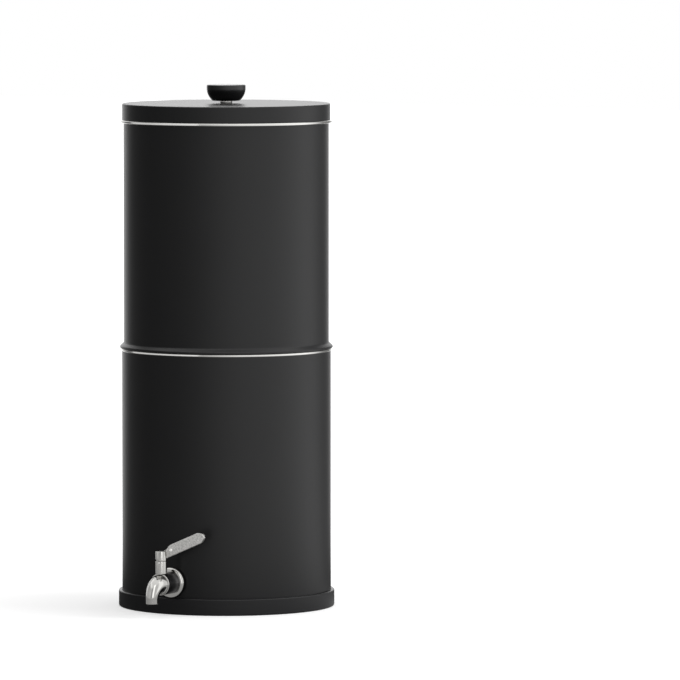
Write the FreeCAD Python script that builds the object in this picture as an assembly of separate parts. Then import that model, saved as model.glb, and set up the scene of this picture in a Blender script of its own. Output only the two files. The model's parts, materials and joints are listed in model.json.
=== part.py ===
"""Gravity water filter with a tap: two stacked steel chambers, two carbon elements, a lid and a ball tap.

The upper chamber holds the raw water and the filter elements, whose hollow stems pass through its floor.
The lower chamber keeps the filtered water and feeds the tap. Millimetres, +Z up, tap towards -Y.
Everything is first built about the tank's own axis, and moved as one at the end, so that the origin
lies at the bottom centre of the whole object's box.
"""
import FreeCAD, Part
import math
import os

# Sheet and stacking sizes
sheet_t = 1.0
lower_d = 212.0
lower_wall_h = 256.6
nest_side_gap = 1.0
upper_wall_h = 252.3
nest_depth = 22.0
floor_corner_r = 6.0

# Base ring
base_ring_h = 16.5
base_wall_t = 3.4
base_shelf_t = 5.0
base_shelf_w = 10.0
base_foot_round = 1.6
base_top_round = 0.6
base_grip_gap = 0.1

# Steel hoops rolled over the cut edges of the two chambers
hoop_h = 2.8
hoop_cover_t = 0.9
hoop_lining_t = 0.5
lower_hoop_reach = 1.2
upper_hoop_reach = 4.1
hoop_round = 0.9

# Bead pressed out of the upper chamber, which rests on the lower hoop
bead_reach = 4.0
bead_h = 5.6
bead_face_h = 1.2

# Lid
lid_overhang = 1.5
lid_h = 16.5
lid_edge_r = 1.4
lip_depth = 8.0
lip_gap = 0.4

# Knob on the lid
knob_d = 39.6
knob_base_d = 27.0
knob_h = 16.3
knob_belly_r = 15.6
knob_edge_r = 1.4
spacer_d = 12.2
spacer_h = 2.6
knob_screw_d = 5.0
knob_screw_head_d = 9.5
knob_screw_head_h = 3.0
knob_screw_slot_w = 1.0
knob_screw_grip = 9.0
knob_screw_end_gap = 1.0

# Filter elements
element_spacing = 96.0
block_d = 69.0
block_bore_d = 22.0
element_len = 212.0
end_cap_d = 76.0
end_cap_plate_t = 2.6
end_cap_wall_h = 7.0
end_cap_round = 0.7
glue_gap = 0.1
stem_tube_d = 8.3
stem_tube_bore_d = 4.2
stem_tube_len = 47.0
seal_d = 36.0
seal_h = 17.0
seal_edge_round = 1.2

# Wing nuts
nut_hub_d = 32.0
nut_hub_h = 10.2
nut_edge_round = 0.6
wing_angle = 61.0
wing_width = 6.8
wing_root_r = 15.9
wing_root_drop = 2.2
wing_len = 17.6
wing_t = 4.4
wing_tip_round = 1.1

# Tap body
tap_axis_z = 32.3
flange_d = 31.0
flange_t = 4.5
flange_bevel = 1.7
shank_d = 16.0
shank_reach = 20.0
waterway_d = 8.4
spigot_d = 16.0
barrel_d = 22.0
barrel_len = 18.5
barrel_bevel = 0.7
outer_washer_d = 27.0
outer_washer_t = 1.5
inner_washer_d = 26.0
inner_washer_t = 1.5
lock_nut_af = 24.0
lock_nut_h = 6.0

# Ball valve
stem_from_wall = 21.1
ball_d = 12.0
ball_bore_d = 7.0
ball_slot_w = 2.6
ball_slot_depth = 2.0
ball_room_d = 13.2
ball_room_half = 7.6
seat_reach = 2.6
valve_stem_d = 5.0
stem_collar_d = 8.0
stem_collar_h = 1.5
stem_tongue_len = 4.2
stem_square = 3.9
stem_square_h = 5.1

# Bonnet above the barrel
bonnet_d = 11.7
bonnet_seat_drop = 1.8
bonnet_plug_d = 10.0
bonnet_h = 14.1
gland_d = 8.0
gland_nut_h = 7.6
packing_h = 4.0
gland_pin_d = 1.5
gland_pin_proud = 0.35
gland_pin_drop = 1.6
gland_pin_turn = 8.0
gland_pin_bite = 1.0
stop_h = 1.6
stop_wall_t = 1.75
stop_lug_from = -2.0
stop_lug_span = 83.0
stop_slack = 0.4
lever_swing = 90.0

# Lever cap, lever and their fasteners
cap_h = 8.5
lever_t = 3.0
lever_width = 10.9
lever_len = 53.3
lever_rise = 23.0
lever_line_drop = 3.7
lever_tip_cut = 5.2
lever_tip_flat = 4.2
lever_neck_drop = 0.4
lever_shoulder_x = 11.2
lever_shoulder_bulge = 1.3
tongue_t = 2.0
tongue_r = 3.2
rivet_x = 11.2
rivet_d = 2.6
rivet_head_d = 3.6
rivet_head_h = 0.7
cap_screw_d = 2.8
cap_screw_head_d = 5.4
cap_screw_head_h = 1.6
cap_screw_slot_w = 0.8
cap_screw_len = 9.0

# Spout, cast in one piece with the barrel
spout_reach = 38.7
spout_drop = 18.3
spout_root_d = 20.0
spout_lip_d = 12.3
spout_taper = 1.3
elbow_spans = 6

# Clearances between pieces
running_gap = 0.05
ball_gap = 0.1
fit_gap = 0.05
stop_gap = 0.2
wall_hole_gap = 0.2
same_point = 1e-7

# Worked out from the sizes above
lower_r = lower_d / 2
upper_r = lower_r - sheet_t - nest_side_gap
lower_floor_z = base_shelf_t
lower_edge_z = lower_floor_z + lower_wall_h
lower_hoop_top_z = lower_edge_z + hoop_cover_t
upper_floor_z = lower_hoop_top_z - nest_depth
upper_edge_z = upper_floor_z + upper_wall_h
upper_hoop_top_z = upper_edge_z + hoop_cover_t
lid_top_z = upper_hoop_top_z + lid_h
element_base_z = upper_floor_z + sheet_t + seal_h
stem_y = -(lower_r + stem_from_wall)
stem_hole_r = stem_tube_d / 2 + fit_gap
barrel_front = lower_r + outer_washer_t + flange_t + barrel_len


def line_to(point):
    return ("line", point, None)


def arc_to(middle, end):
    return ("arc", end, middle)


def face_of(start, steps):
    """Closed flat outline in the XZ plane, from (x, z) points, lines and three-point arcs."""
    def vector(point):
        return FreeCAD.Vector(point[0], 0, point[1])

    edges = []
    here = start
    for kind, end, middle in list(steps) + [line_to(start)]:
        if math.dist(here, end) < same_point:
            continue
        if kind == "arc":
            edges.append(Part.Arc(vector(here), vector(middle), vector(end)).toShape())
        else:
            edges.append(Part.makeLine(vector(here), vector(end)))
        here = end
    return Part.Face(Part.Wire(edges))


def turned(start, *steps):
    """Solid turned about the Z axis from an outline of (radius, height) points."""
    axis = FreeCAD.Vector(0, 0, 1)
    return face_of(start, steps).revolve(FreeCAD.Vector(0, 0, 0), axis, 360)


def on_arc(centre, radius, degrees):
    angle = math.radians(degrees)
    return (centre[0] + radius * math.cos(angle), centre[1] + radius * math.sin(angle))


def round_corner(corner, radius, degrees):
    """Arc of a right-angled corner, whose middle looks from its centre towards the given angle."""
    sign_x = 1 if math.cos(math.radians(degrees)) > 0 else -1
    sign_z = 1 if math.sin(math.radians(degrees)) > 0 else -1
    centre = (corner[0] - sign_x * radius, corner[1] - sign_z * radius)
    return centre, on_arc(centre, radius, degrees)


def upright(radius, low, high, x=0.0, y=0.0):
    return Part.makeCylinder(radius, high - low, FreeCAD.Vector(x, y, low))


def ring(outer, inner, low, high, x=0.0, y=0.0):
    return upright(outer, low, high, x, y).cut(upright(inner, low, high, x, y))


def along_tap(shape):
    """Lays a shape built along Z, where height is distance from the tank's axis, onto the tap's axis."""
    laid = shape.copy()
    laid.rotate(FreeCAD.Vector(0, 0, 0), FreeCAD.Vector(1, 0, 0), 90)
    laid.translate(FreeCAD.Vector(0, 0, tap_axis_z))
    return laid


def sector(inner, outer, low, high, start_degrees, span):
    """Piece of a ring about the valve stem, with angles counted from the spout towards +X."""
    blank = Part.makeCylinder(outer, high - low, FreeCAD.Vector(0, 0, low), FreeCAD.Vector(0, 0, 1), span)
    blank.rotate(FreeCAD.Vector(0, 0, 0), FreeCAD.Vector(0, 0, 1), start_degrees - 90)
    piece = blank.cut(upright(inner, low, high))
    piece.translate(FreeCAD.Vector(0, stem_y, 0))
    return piece


def make_base_ring():
    wall = lower_r + base_grip_gap
    outer = wall + base_wall_t
    bore = lower_r - base_shelf_w
    foot_centre, foot_middle = round_corner((outer, 0), base_foot_round, -45)
    top_centre, top_middle = round_corner((outer, base_ring_h), base_top_round, 45)
    return turned(
        (bore, 0),
        line_to((foot_centre[0], 0)),
        arc_to(foot_middle, (outer, foot_centre[1])),
        line_to((outer, top_centre[1])),
        arc_to(top_middle, (top_centre[0], base_ring_h)),
        line_to((wall, base_ring_h)),
        line_to((wall, base_shelf_t)),
        line_to((bore, base_shelf_t)),
    )


def chamber(radius, floor_z, edge_z):
    """Open steel pot: a flat floor, a rounded corner and a straight wall."""
    inner = radius - sheet_t
    outer_centre, outer_middle = round_corner((radius, floor_z), floor_corner_r, -45)
    inner_middle = on_arc(outer_centre, floor_corner_r - sheet_t, -45)
    return turned(
        (0, floor_z),
        line_to((outer_centre[0], floor_z)),
        arc_to(outer_middle, (radius, outer_centre[1])),
        line_to((radius, edge_z)),
        line_to((inner, edge_z)),
        line_to((inner, outer_centre[1])),
        arc_to(inner_middle, (outer_centre[0], floor_z + sheet_t)),
        line_to((0, floor_z + sheet_t)),
    )


def hoop(radius, edge_z, reach):
    """Steel hoop over a chamber's cut edge: proud outside, a thin lining inside and a rounded crown."""
    outer = radius + reach
    inner = radius - sheet_t - hoop_lining_t
    low = edge_z + hoop_cover_t - hoop_h
    top = edge_z + hoop_cover_t
    bottom_centre, bottom_middle = round_corner((outer, low), hoop_round, -45)
    top_centre, top_middle = round_corner((outer, top), hoop_round, 45)
    return turned(
        (radius, low),
        line_to((bottom_centre[0], low)),
        arc_to(bottom_middle, (outer, bottom_centre[1])),
        line_to((outer, top_centre[1])),
        arc_to(top_middle, (top_centre[0], top)),
        line_to((inner, top)),
        line_to((inner, low)),
        line_to((radius - sheet_t, low)),
        line_to((radius - sheet_t, edge_z)),
        line_to((radius, edge_z)),
    )


def make_lower_chamber():
    hole_r = shank_d / 2 + wall_hole_gap
    tap_hole = along_tap(upright(hole_r, lower_r - sheet_t - hole_r, lower_r + sheet_t))
    return chamber(lower_r, lower_floor_z, lower_edge_z).cut(tap_hole)


def make_upper_chamber():
    seat_z = lower_hoop_top_z
    bead_r = upper_r + bead_reach
    face_low = seat_z + hoop_round
    face_high = face_low + bead_face_h
    bead = turned(
        (upper_r - sheet_t / 2, seat_z),
        line_to((bead_r - hoop_round, seat_z)),
        line_to((bead_r, face_low)),
        line_to((bead_r, face_high)),
        line_to((upper_r, seat_z + bead_h)),
        line_to((upper_r - sheet_t / 2, seat_z + bead_h)),
    )
    body = chamber(upper_r, upper_floor_z, upper_edge_z).fuse(bead)
    for x in element_places():
        body = body.cut(upright(stem_hole_r, upper_floor_z - sheet_t, upper_floor_z + 2 * sheet_t, x))
    return body.removeSplitter()


def make_lid():
    outer = upper_r + lid_overhang
    lip = upper_r - sheet_t - hoop_lining_t - lip_gap
    hole = knob_screw_d / 2 + fit_gap
    seat = upper_hoop_top_z
    edge_centre, edge_middle = round_corner((outer, lid_top_z), lid_edge_r, 45)
    inner_middle = on_arc(edge_centre, lid_edge_r - sheet_t, 45)
    return turned(
        (hole, lid_top_z),
        line_to((edge_centre[0], lid_top_z)),
        arc_to(edge_middle, (outer, edge_centre[1])),
        line_to((outer, seat)),
        line_to((lip, seat)),
        line_to((lip, seat - lip_depth)),
        line_to((lip - sheet_t, seat - lip_depth)),
        line_to((lip - sheet_t, seat + sheet_t)),
        line_to((outer - sheet_t, seat + sheet_t)),
        line_to((outer - sheet_t, edge_centre[1])),
        arc_to(inner_middle, (edge_centre[0], lid_top_z - sheet_t)),
        line_to((hole, lid_top_z - sheet_t)),
    )


def make_knob():
    """Bowl-shaped knob: a flat base, a belly that widens upwards, a short straight rim and a flat top."""
    low = lid_top_z + spacer_h
    top = low + knob_h
    rim_r = knob_d / 2
    base_r = knob_base_d / 2
    across = base_r - (rim_r - knob_belly_r)
    belly_centre = (rim_r - knob_belly_r, low + math.sqrt(knob_belly_r ** 2 - across ** 2))
    base_angle = math.degrees(math.atan2(low - belly_centre[1], across))
    edge_centre, edge_middle = round_corner((rim_r, top), knob_edge_r, 45)
    screw = knob_screw_d / 2 + fit_gap
    return turned(
        (screw, low),
        line_to((base_r, low)),
        arc_to(on_arc(belly_centre, knob_belly_r, base_angle / 2), (rim_r, belly_centre[1])),
        line_to((rim_r, edge_centre[1])),
        arc_to(edge_middle, (edge_centre[0], top)),
        line_to((0, top)),
        line_to((0, low + knob_screw_grip)),
        line_to((screw, low + knob_screw_grip)),
    )


def make_knob_spacer():
    return ring(spacer_d / 2, knob_screw_d / 2 + fit_gap, lid_top_z, lid_top_z + spacer_h)


def make_knob_screw():
    under = lid_top_z - sheet_t
    end = lid_top_z + spacer_h + knob_screw_grip - knob_screw_end_gap
    shank = upright(knob_screw_d / 2, under, end)
    head = upright(knob_screw_head_d / 2, under - knob_screw_head_h, under)
    slot = Part.makeBox(knob_screw_head_d, knob_screw_slot_w, knob_screw_slot_w)
    slot_y = -knob_screw_slot_w / 2
    slot.translate(FreeCAD.Vector(-knob_screw_head_d / 2, slot_y, under - knob_screw_head_h))
    return head.fuse(shank).cut(slot).removeSplitter()


def element_places():
    return (-element_spacing / 2, element_spacing / 2)


def make_carbon_block(x):
    low = element_base_z + end_cap_plate_t
    high = element_base_z + element_len - end_cap_plate_t
    return ring(block_d / 2, block_bore_d / 2, low, high, x)


def end_cap(plate_z, open_z):
    """Cup that covers one end of a carbon block, from the plate's outer face to the open edge."""
    outer = end_cap_d / 2
    inner = block_d / 2 + glue_gap
    way = 1 if open_z > plate_z else -1
    plate_inner = plate_z + way * end_cap_plate_t
    centre, middle = round_corner((outer, plate_z), end_cap_round, -45 * way)
    return turned(
        (0, plate_z),
        line_to((centre[0], plate_z)),
        arc_to(middle, (outer, centre[1])),
        line_to((outer, open_z)),
        line_to((inner, open_z)),
        line_to((inner, plate_inner)),
        line_to((0, plate_inner)),
    )


def make_closed_cap(x):
    top = element_base_z + element_len
    cap = end_cap(top, top - end_cap_plate_t - end_cap_wall_h)
    cap.translate(FreeCAD.Vector(x, 0, 0))
    return cap


def make_outlet_cap(x):
    """Outlet end: the cup with its hollow threaded stem, which passes through the seal and the floor."""
    low = element_base_z
    cap = end_cap(low, low + end_cap_plate_t + end_cap_wall_h)
    cap = cap.fuse(upright(stem_tube_d / 2, low - stem_tube_len, low))
    cap = cap.cut(upright(stem_tube_bore_d / 2, low - stem_tube_len, low + end_cap_plate_t))
    cap.translate(FreeCAD.Vector(x, 0, 0))
    return cap.removeSplitter()


def make_stem_seal(x):
    low = upper_floor_z + sheet_t
    outer = seal_d / 2
    low_centre, low_middle = round_corner((outer, low), seal_edge_round, -45)
    seal = turned(
        (stem_hole_r, low),
        line_to((low_centre[0], low)),
        arc_to(low_middle, (outer, low_centre[1])),
        line_to((outer, low + seal_h)),
        line_to((stem_hole_r, low + seal_h)),
    )
    seal.translate(FreeCAD.Vector(x, 0, 0))
    return seal


def make_wing_nut(x):
    """Wing nut under the floor: a round hub with two straight wings that spread downwards."""
    top = upper_floor_z
    outer = nut_hub_d / 2
    centre, middle = round_corner((outer, top - nut_hub_h), nut_edge_round, -45)
    hub = turned(
        (0, top),
        line_to((outer, top)),
        line_to((outer, centre[1])),
        arc_to(middle, (centre[0], top - nut_hub_h)),
        line_to((0, top - nut_hub_h)),
    )
    slope = math.radians(wing_angle)
    out = (math.cos(slope), -math.sin(slope))
    across = (-math.sin(slope), -math.cos(slope))
    root = (wing_root_r, top - wing_root_drop)

    def spot(along, over):
        return (root[0] + along * out[0] + over * across[0], root[1] + along * out[1] + over * across[1])

    corner_shift = wing_tip_round * (1 - math.sqrt(0.5))
    wing_face = face_of(
        spot(-wing_root_drop / 2, wing_width / 2),
        (
            line_to(root),
            line_to(spot(wing_len - wing_tip_round, 0)),
            arc_to(spot(wing_len - corner_shift, corner_shift), spot(wing_len, wing_tip_round)),
            line_to(spot(wing_len, wing_width - wing_tip_round)),
            arc_to(
                spot(wing_len - corner_shift, wing_width - corner_shift),
                spot(wing_len - wing_tip_round, wing_width),
            ),
            line_to(spot(0, wing_width)),
        ),
    )
    nut = hub
    for turn in (0, 180):
        wing = wing_face.extrude(FreeCAD.Vector(0, wing_t, 0))
        wing.translate(FreeCAD.Vector(0, -wing_t / 2, 0))
        wing.rotate(FreeCAD.Vector(0, 0, 0), FreeCAD.Vector(0, 0, 1), turn)
        nut = nut.fuse(wing)
    nut = nut.cut(upright(stem_tube_d / 2 + running_gap, top - 2 * nut_hub_h, top))
    nut.translate(FreeCAD.Vector(x, 0, 0))
    return nut.removeSplitter()


def make_tap_shank():
    """Threaded shank and flange in one piece, whose spigot screws into the barrel behind the ball."""
    shank = shank_d / 2
    flange = flange_d / 2
    spigot = spigot_d / 2
    inside = lower_r - sheet_t - shank_reach
    back = lower_r + outer_washer_t
    front = back + flange_t
    return along_tap(turned(
        (waterway_d / 2, inside),
        line_to((shank, inside)),
        line_to((shank, back)),
        line_to((flange, back)),
        line_to((flange, front - flange_bevel)),
        line_to((flange - flange_bevel, front)),
        line_to((spigot, front)),
        line_to((spigot, rear_seat_back())),
        line_to((waterway_d / 2, rear_seat_back())),
    ))


def rear_seat_back():
    return -stem_y - ball_room_half


def make_tap_body():
    """Barrel and spout in one casting, bored for the spigot, the ball, the bonnet and the water."""
    barrel = barrel_d / 2
    rear = lower_r + outer_washer_t + flange_t
    body = along_tap(turned(
        (0, rear),
        line_to((barrel, rear)),
        line_to((barrel, barrel_front - barrel_bevel)),
        line_to((barrel - barrel_bevel, barrel_front)),
        line_to((0, barrel_front)),
    ))
    bend = lower_r + spout_reach - barrel_front
    centre = FreeCAD.Vector(0, -barrel_front, tap_axis_z - bend)
    nozzle_y = -(lower_r + spout_reach)
    nozzle_low = tap_axis_z - spout_drop
    nozzle_high = tap_axis_z - bend
    body = body.fuse(spout_elbow(centre, bend))
    body = body.fuse(upright(spout_lip_d / 2, nozzle_low, nozzle_high, 0, nozzle_y))
    body = body.cut(along_tap(upright(spigot_d / 2 + fit_gap, rear, rear_seat_back())))
    body = body.cut(along_tap(upright(ball_room_d / 2, rear, -stem_y + ball_room_half)))
    mouth = Part.makeCircle(waterway_d / 2, centre + FreeCAD.Vector(0, 0, bend), FreeCAD.Vector(0, -1, 0))
    body = body.cut(Part.Face(Part.Wire(mouth)).revolve(centre, FreeCAD.Vector(1, 0, 0), 90))
    body = body.cut(upright(waterway_d / 2, nozzle_low, nozzle_high, 0, nozzle_y))
    seat_z = bonnet_seat_z()
    body = body.cut(upright(bonnet_plug_d / 2 + fit_gap, tap_axis_z, seat_z + barrel_d, 0, stem_y))
    body = body.cut(upright(bonnet_d / 2 + fit_gap, seat_z, seat_z + barrel_d, 0, stem_y))
    return body.removeSplitter()


def spout_elbow(centre, bend):
    """Quarter bend from the barrel's front down to the nozzle, tapering all the way."""
    circles = []
    for index in range(elbow_spans + 1):
        share = index / elbow_spans
        angle = math.radians(90 * share)
        out = FreeCAD.Vector(0, -math.sin(angle), math.cos(angle))
        way = FreeCAD.Vector(0, -math.cos(angle), -math.sin(angle))
        radius = spout_lip_d / 2 + (spout_root_d - spout_lip_d) / 2 * (1 - share) ** spout_taper
        circles.append(Part.Wire(Part.makeCircle(radius, centre + out * bend, way)))
    return Part.makeLoft(circles, True, False)


def bonnet_seat_z():
    return tap_axis_z + barrel_d / 2 - bonnet_seat_drop


def bonnet_top_z():
    return bonnet_seat_z() + bonnet_h


def cap_low_z():
    return bonnet_top_z() + stop_h


def make_outer_washer():
    """Soft washer behind the flange, hollowed to the round wall."""
    bore = shank_d / 2 + fit_gap
    blank = along_tap(ring(outer_washer_d / 2, bore, lower_r - shank_d, lower_r + outer_washer_t))
    return blank.cut(upright(lower_r, 0, lower_edge_z))


def inner_washer_face():
    """Distance from the tank's axis to the flat face that the lock nut bears on."""
    inner = lower_r - sheet_t
    return math.sqrt(inner ** 2 - (inner_washer_d / 2) ** 2) - inner_washer_t


def make_inner_washer():
    """Soft washer inside the wall, domed to the wall and flat for the nut."""
    blank = along_tap(ring(inner_washer_d / 2, shank_d / 2 + fit_gap, inner_washer_face(), lower_r))
    return blank.common(upright(lower_r - sheet_t, 0, lower_edge_z))


def make_lock_nut():
    corner_r = lock_nut_af / 2 / math.cos(math.radians(30))
    points = [on_arc((0, 0), corner_r, 60 * index) for index in range(7)]
    high = inner_washer_face()
    outline = Part.makePolygon([FreeCAD.Vector(x, y, high - lock_nut_h) for x, y in points])
    nut = Part.Face(outline).extrude(FreeCAD.Vector(0, 0, lock_nut_h))
    nut = nut.cut(upright(shank_d / 2 + fit_gap, high - lock_nut_h, high))
    return along_tap(nut)


def make_seat(way):
    """Ring seat of the ball, on the tank's side (way -1) or the spout's side (way 1)."""
    far = -stem_y + way * ball_room_half
    near = -stem_y + way * seat_reach
    blank = ring(ball_room_d / 2 - fit_gap, ball_bore_d / 2, min(near, far), max(near, far))
    room = Part.makeSphere(ball_d / 2 + ball_gap, FreeCAD.Vector(0, 0, -stem_y))
    return along_tap(blank.cut(room))


def make_valve_ball():
    """Ball with its bore across the flow, as it lies when the tap is shut, and a slot for the stem."""
    centre = FreeCAD.Vector(0, stem_y, tap_axis_z)
    ball = Part.makeSphere(ball_d / 2, centre)
    bore = Part.makeCylinder(
        ball_bore_d / 2, ball_d, FreeCAD.Vector(-ball_d / 2, stem_y, tap_axis_z), FreeCAD.Vector(1, 0, 0)
    )
    slot = Part.makeBox(ball_d, ball_slot_w, ball_slot_depth)
    slot.translate(FreeCAD.Vector(-ball_d / 2, stem_y - ball_slot_w / 2, ball_slot_floor_z()))
    return ball.cut(bore).cut(slot).removeSplitter()


def ball_slot_floor_z():
    return tap_axis_z + ball_d / 2 - ball_slot_depth


def collar_low_z():
    return tap_axis_z + ball_room_d / 2 + ball_gap


def make_valve_stem():
    """Stem: a flat tongue in the ball, a collar that can't be pushed out, a shaft and a square end."""
    low = ball_slot_floor_z() + fit_gap
    tongue = Part.makeBox(stem_tongue_len, ball_slot_w - 2 * fit_gap, collar_low_z() - low)
    tongue.translate(FreeCAD.Vector(-stem_tongue_len / 2, stem_y - ball_slot_w / 2 + fit_gap, low))
    collar = upright(stem_collar_d / 2, collar_low_z(), collar_low_z() + stem_collar_h, 0, stem_y)
    shaft = upright(valve_stem_d / 2, collar_low_z(), cap_low_z(), 0, stem_y)
    square = Part.makeBox(stem_square, stem_square, stem_square_h)
    square.translate(FreeCAD.Vector(-stem_square / 2, stem_y - stem_square / 2, cap_low_z()))
    stem = tongue.fuse(collar).fuse(shaft).fuse(square)
    screw_low = cap_screw_seat_z() - cap_screw_len
    stem = stem.cut(upright(cap_screw_d / 2 + fit_gap, screw_low, cap_top_z(), 0, stem_y))
    return stem.removeSplitter()


def make_bonnet():
    """Upright neck screwed into the barrel, with the fixed stop for the lever on its top."""
    seat = bonnet_seat_z()
    top = bonnet_top_z()
    plug_low = collar_low_z() + running_gap
    bonnet = upright(bonnet_plug_d / 2, plug_low, seat, 0, stem_y)
    bonnet = bonnet.fuse(upright(bonnet_d / 2, seat, top, 0, stem_y))
    stop_from = stop_lug_from + stop_lug_span
    stop_span = 360 - stop_lug_span - lever_swing
    inner = bonnet_d / 2 - stop_wall_t
    bonnet = bonnet.fuse(sector(inner, bonnet_d / 2, top, cap_low_z() - stop_gap, stop_from, stop_span))
    collar_room_top = collar_low_z() + stem_collar_h + running_gap
    bonnet = bonnet.cut(upright(stem_collar_d / 2 + running_gap, plug_low, collar_room_top, 0, stem_y))
    bonnet = bonnet.cut(upright(valve_stem_d / 2 + running_gap, plug_low, top, 0, stem_y))
    bonnet = bonnet.cut(upright(gland_d / 2, gland_low_z(), top, 0, stem_y))
    return bonnet.cut(gland_pin_hole()).removeSplitter()


def gland_low_z():
    return bonnet_top_z() - gland_nut_h - packing_h


def make_stem_packing():
    low = gland_low_z()
    inner = valve_stem_d / 2 + running_gap
    return ring(gland_d / 2 - fit_gap, inner, low, low + packing_h, 0, stem_y)


def make_gland_nut():
    low = gland_low_z() + packing_h
    inner = valve_stem_d / 2 + running_gap
    nut = ring(gland_d / 2 - fit_gap, inner, low, bonnet_top_z(), 0, stem_y)
    return nut.cut(gland_pin_hole())


def radial_rod(radius, near, far, height, degrees):
    """Rod that points out from the valve stem, with its angle counted from the spout towards +X."""
    turn = math.radians(degrees)
    way = FreeCAD.Vector(math.sin(turn), -math.cos(turn), 0)
    start = FreeCAD.Vector(0, stem_y, height) + way * near
    return Part.makeCylinder(radius, far - near, start, way)


def gland_pin_hole():
    height = bonnet_top_z() - gland_pin_drop
    near = gland_d / 2 - gland_pin_bite
    return radial_rod(gland_pin_d / 2 + fit_gap / 2, near, bonnet_d, height, gland_pin_turn)


def make_gland_pin():
    height = bonnet_top_z() - gland_pin_drop
    near = gland_d / 2 - gland_pin_bite
    far = bonnet_d / 2 + gland_pin_proud
    return radial_rod(gland_pin_d / 2, near, far, height, gland_pin_turn)


def cap_top_z():
    return cap_low_z() + cap_h


def cap_screw_seat_z():
    return cap_top_z() - cap_screw_head_h - 2 * fit_gap


def lever_spot(along, over):
    """Point of the lever from its own centre line, in (x from the stem, height)."""
    rise = math.radians(lever_rise)
    start_z = cap_top_z() - lever_line_drop
    x = along * math.cos(rise) - over * math.sin(rise)
    z = start_z + along * math.sin(rise) + over * math.cos(rise)
    return (x, z)


def rivet_spot():
    rise = math.tan(math.radians(lever_rise))
    return (rivet_x, cap_top_z() - lever_line_drop + rivet_x * rise)


def make_valve_cap():
    """Round cap on the stem, with the moving stop below and a side tongue that carries the lever."""
    low = cap_low_z()
    top = cap_top_z()
    inner = bonnet_d / 2 - stop_wall_t
    cap = upright(bonnet_d / 2, low, top, 0, stem_y)
    lug_low = low - stop_h + stop_gap
    lug_from = stop_lug_from + stop_slack
    lug_span = stop_lug_span - 2 * stop_slack
    cap = cap.fuse(sector(inner, bonnet_d / 2, lug_low, low, lug_from, lug_span))
    end = rivet_spot()
    root = (tongue_r, end[1] - (end[0] - tongue_r) * math.tan(math.radians(lever_rise)) - fit_gap)
    for x, z in (root, end):
        start = FreeCAD.Vector(x, stem_y + lever_t, z)
        cap = cap.fuse(Part.makeCylinder(tongue_r, tongue_t, start, FreeCAD.Vector(0, 1, 0)))
    length = math.dist(root, end)
    bar = Part.makeBox(length, tongue_t, 2 * tongue_r, FreeCAD.Vector(0, 0, -tongue_r))
    bar.rotate(FreeCAD.Vector(0, 0, 0), FreeCAD.Vector(0, 1, 0), -lever_rise)
    bar.translate(FreeCAD.Vector(root[0], stem_y + lever_t, root[1]))
    cap = cap.fuse(bar)
    socket = Part.makeBox(stem_square + 2 * fit_gap, stem_square + 2 * fit_gap, stem_square_h + fit_gap)
    socket.translate(FreeCAD.Vector(-stem_square / 2 - fit_gap, stem_y - stem_square / 2 - fit_gap, low))
    cap = cap.cut(socket)
    cap = cap.cut(upright(cap_screw_d / 2 + fit_gap, low, top, 0, stem_y))
    cap = cap.cut(upright(cap_screw_head_d / 2 + fit_gap, cap_screw_seat_z(), top, 0, stem_y))
    return cap.cut(rivet_hole()).removeSplitter()


def rivet_hole():
    x, z = rivet_spot()
    start = FreeCAD.Vector(x, stem_y - lever_t, z)
    length = 3 * lever_t + tongue_t
    return Part.makeCylinder(rivet_d / 2 + fit_gap / 2, length, start, FreeCAD.Vector(0, 1, 0))


def make_lever():
    """Flat lever on edge: a straight bar that rises from the cap, with a rounded shoulder and cut tip."""
    half = lever_width / 2
    flat = lever_tip_flat / 2
    root_x = bonnet_d / 4
    rise = math.tan(math.radians(lever_rise))
    cosine = math.cos(math.radians(lever_rise))
    line_z = cap_top_z() - lever_line_drop
    low_root = (root_x, line_z + root_x * rise - half / cosine)
    shoulder = (lever_shoulder_x, line_z + lever_shoulder_x * rise + half / cosine)
    neck_z = cap_top_z() - lever_neck_drop
    neck = (bonnet_d / 2, neck_z)
    middle = ((neck[0] + shoulder[0]) / 2, (neck[1] + shoulder[1]) / 2)
    shoulder_middle = (middle[0] - lever_shoulder_bulge, middle[1] + lever_shoulder_bulge / 2)
    plate = face_of(
        low_root,
        (
            line_to(lever_spot(lever_len - lever_tip_cut, -half)),
            line_to(lever_spot(lever_len, -flat)),
            line_to(lever_spot(lever_len, flat)),
            line_to(lever_spot(lever_len - lever_tip_cut, half)),
            line_to(shoulder),
            arc_to(shoulder_middle, neck),
            line_to((root_x, neck_z)),
        ),
    ).extrude(FreeCAD.Vector(0, lever_t, 0))
    plate.translate(FreeCAD.Vector(0, stem_y, 0))
    plate = plate.cut(upright(bonnet_d / 2, 0, cap_top_z() + lever_len, 0, stem_y))
    return plate.cut(rivet_hole())


def make_lever_rivet():
    """Rivet through the lever and the tongue, with a low domed head on each side."""
    x, z = rivet_spot()
    length = lever_t + tongue_t
    rivet = Part.makeCylinder(rivet_d / 2, length, FreeCAD.Vector(0, 0, 0))
    dome_r = (rivet_head_d ** 2 / 4 + rivet_head_h ** 2) / (2 * rivet_head_h)
    for end, side in ((0, -1), (length, 1)):
        dome = Part.makeSphere(dome_r, FreeCAD.Vector(0, 0, end + side * (rivet_head_h - dome_r)))
        slab_low = min(end, end + side * rivet_head_h)
        rivet = rivet.fuse(dome.common(upright(rivet_head_d, slab_low, slab_low + rivet_head_h)))
    rivet.rotate(FreeCAD.Vector(0, 0, 0), FreeCAD.Vector(1, 0, 0), -90)
    rivet.translate(FreeCAD.Vector(x, stem_y, z))
    return rivet.removeSplitter()


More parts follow.
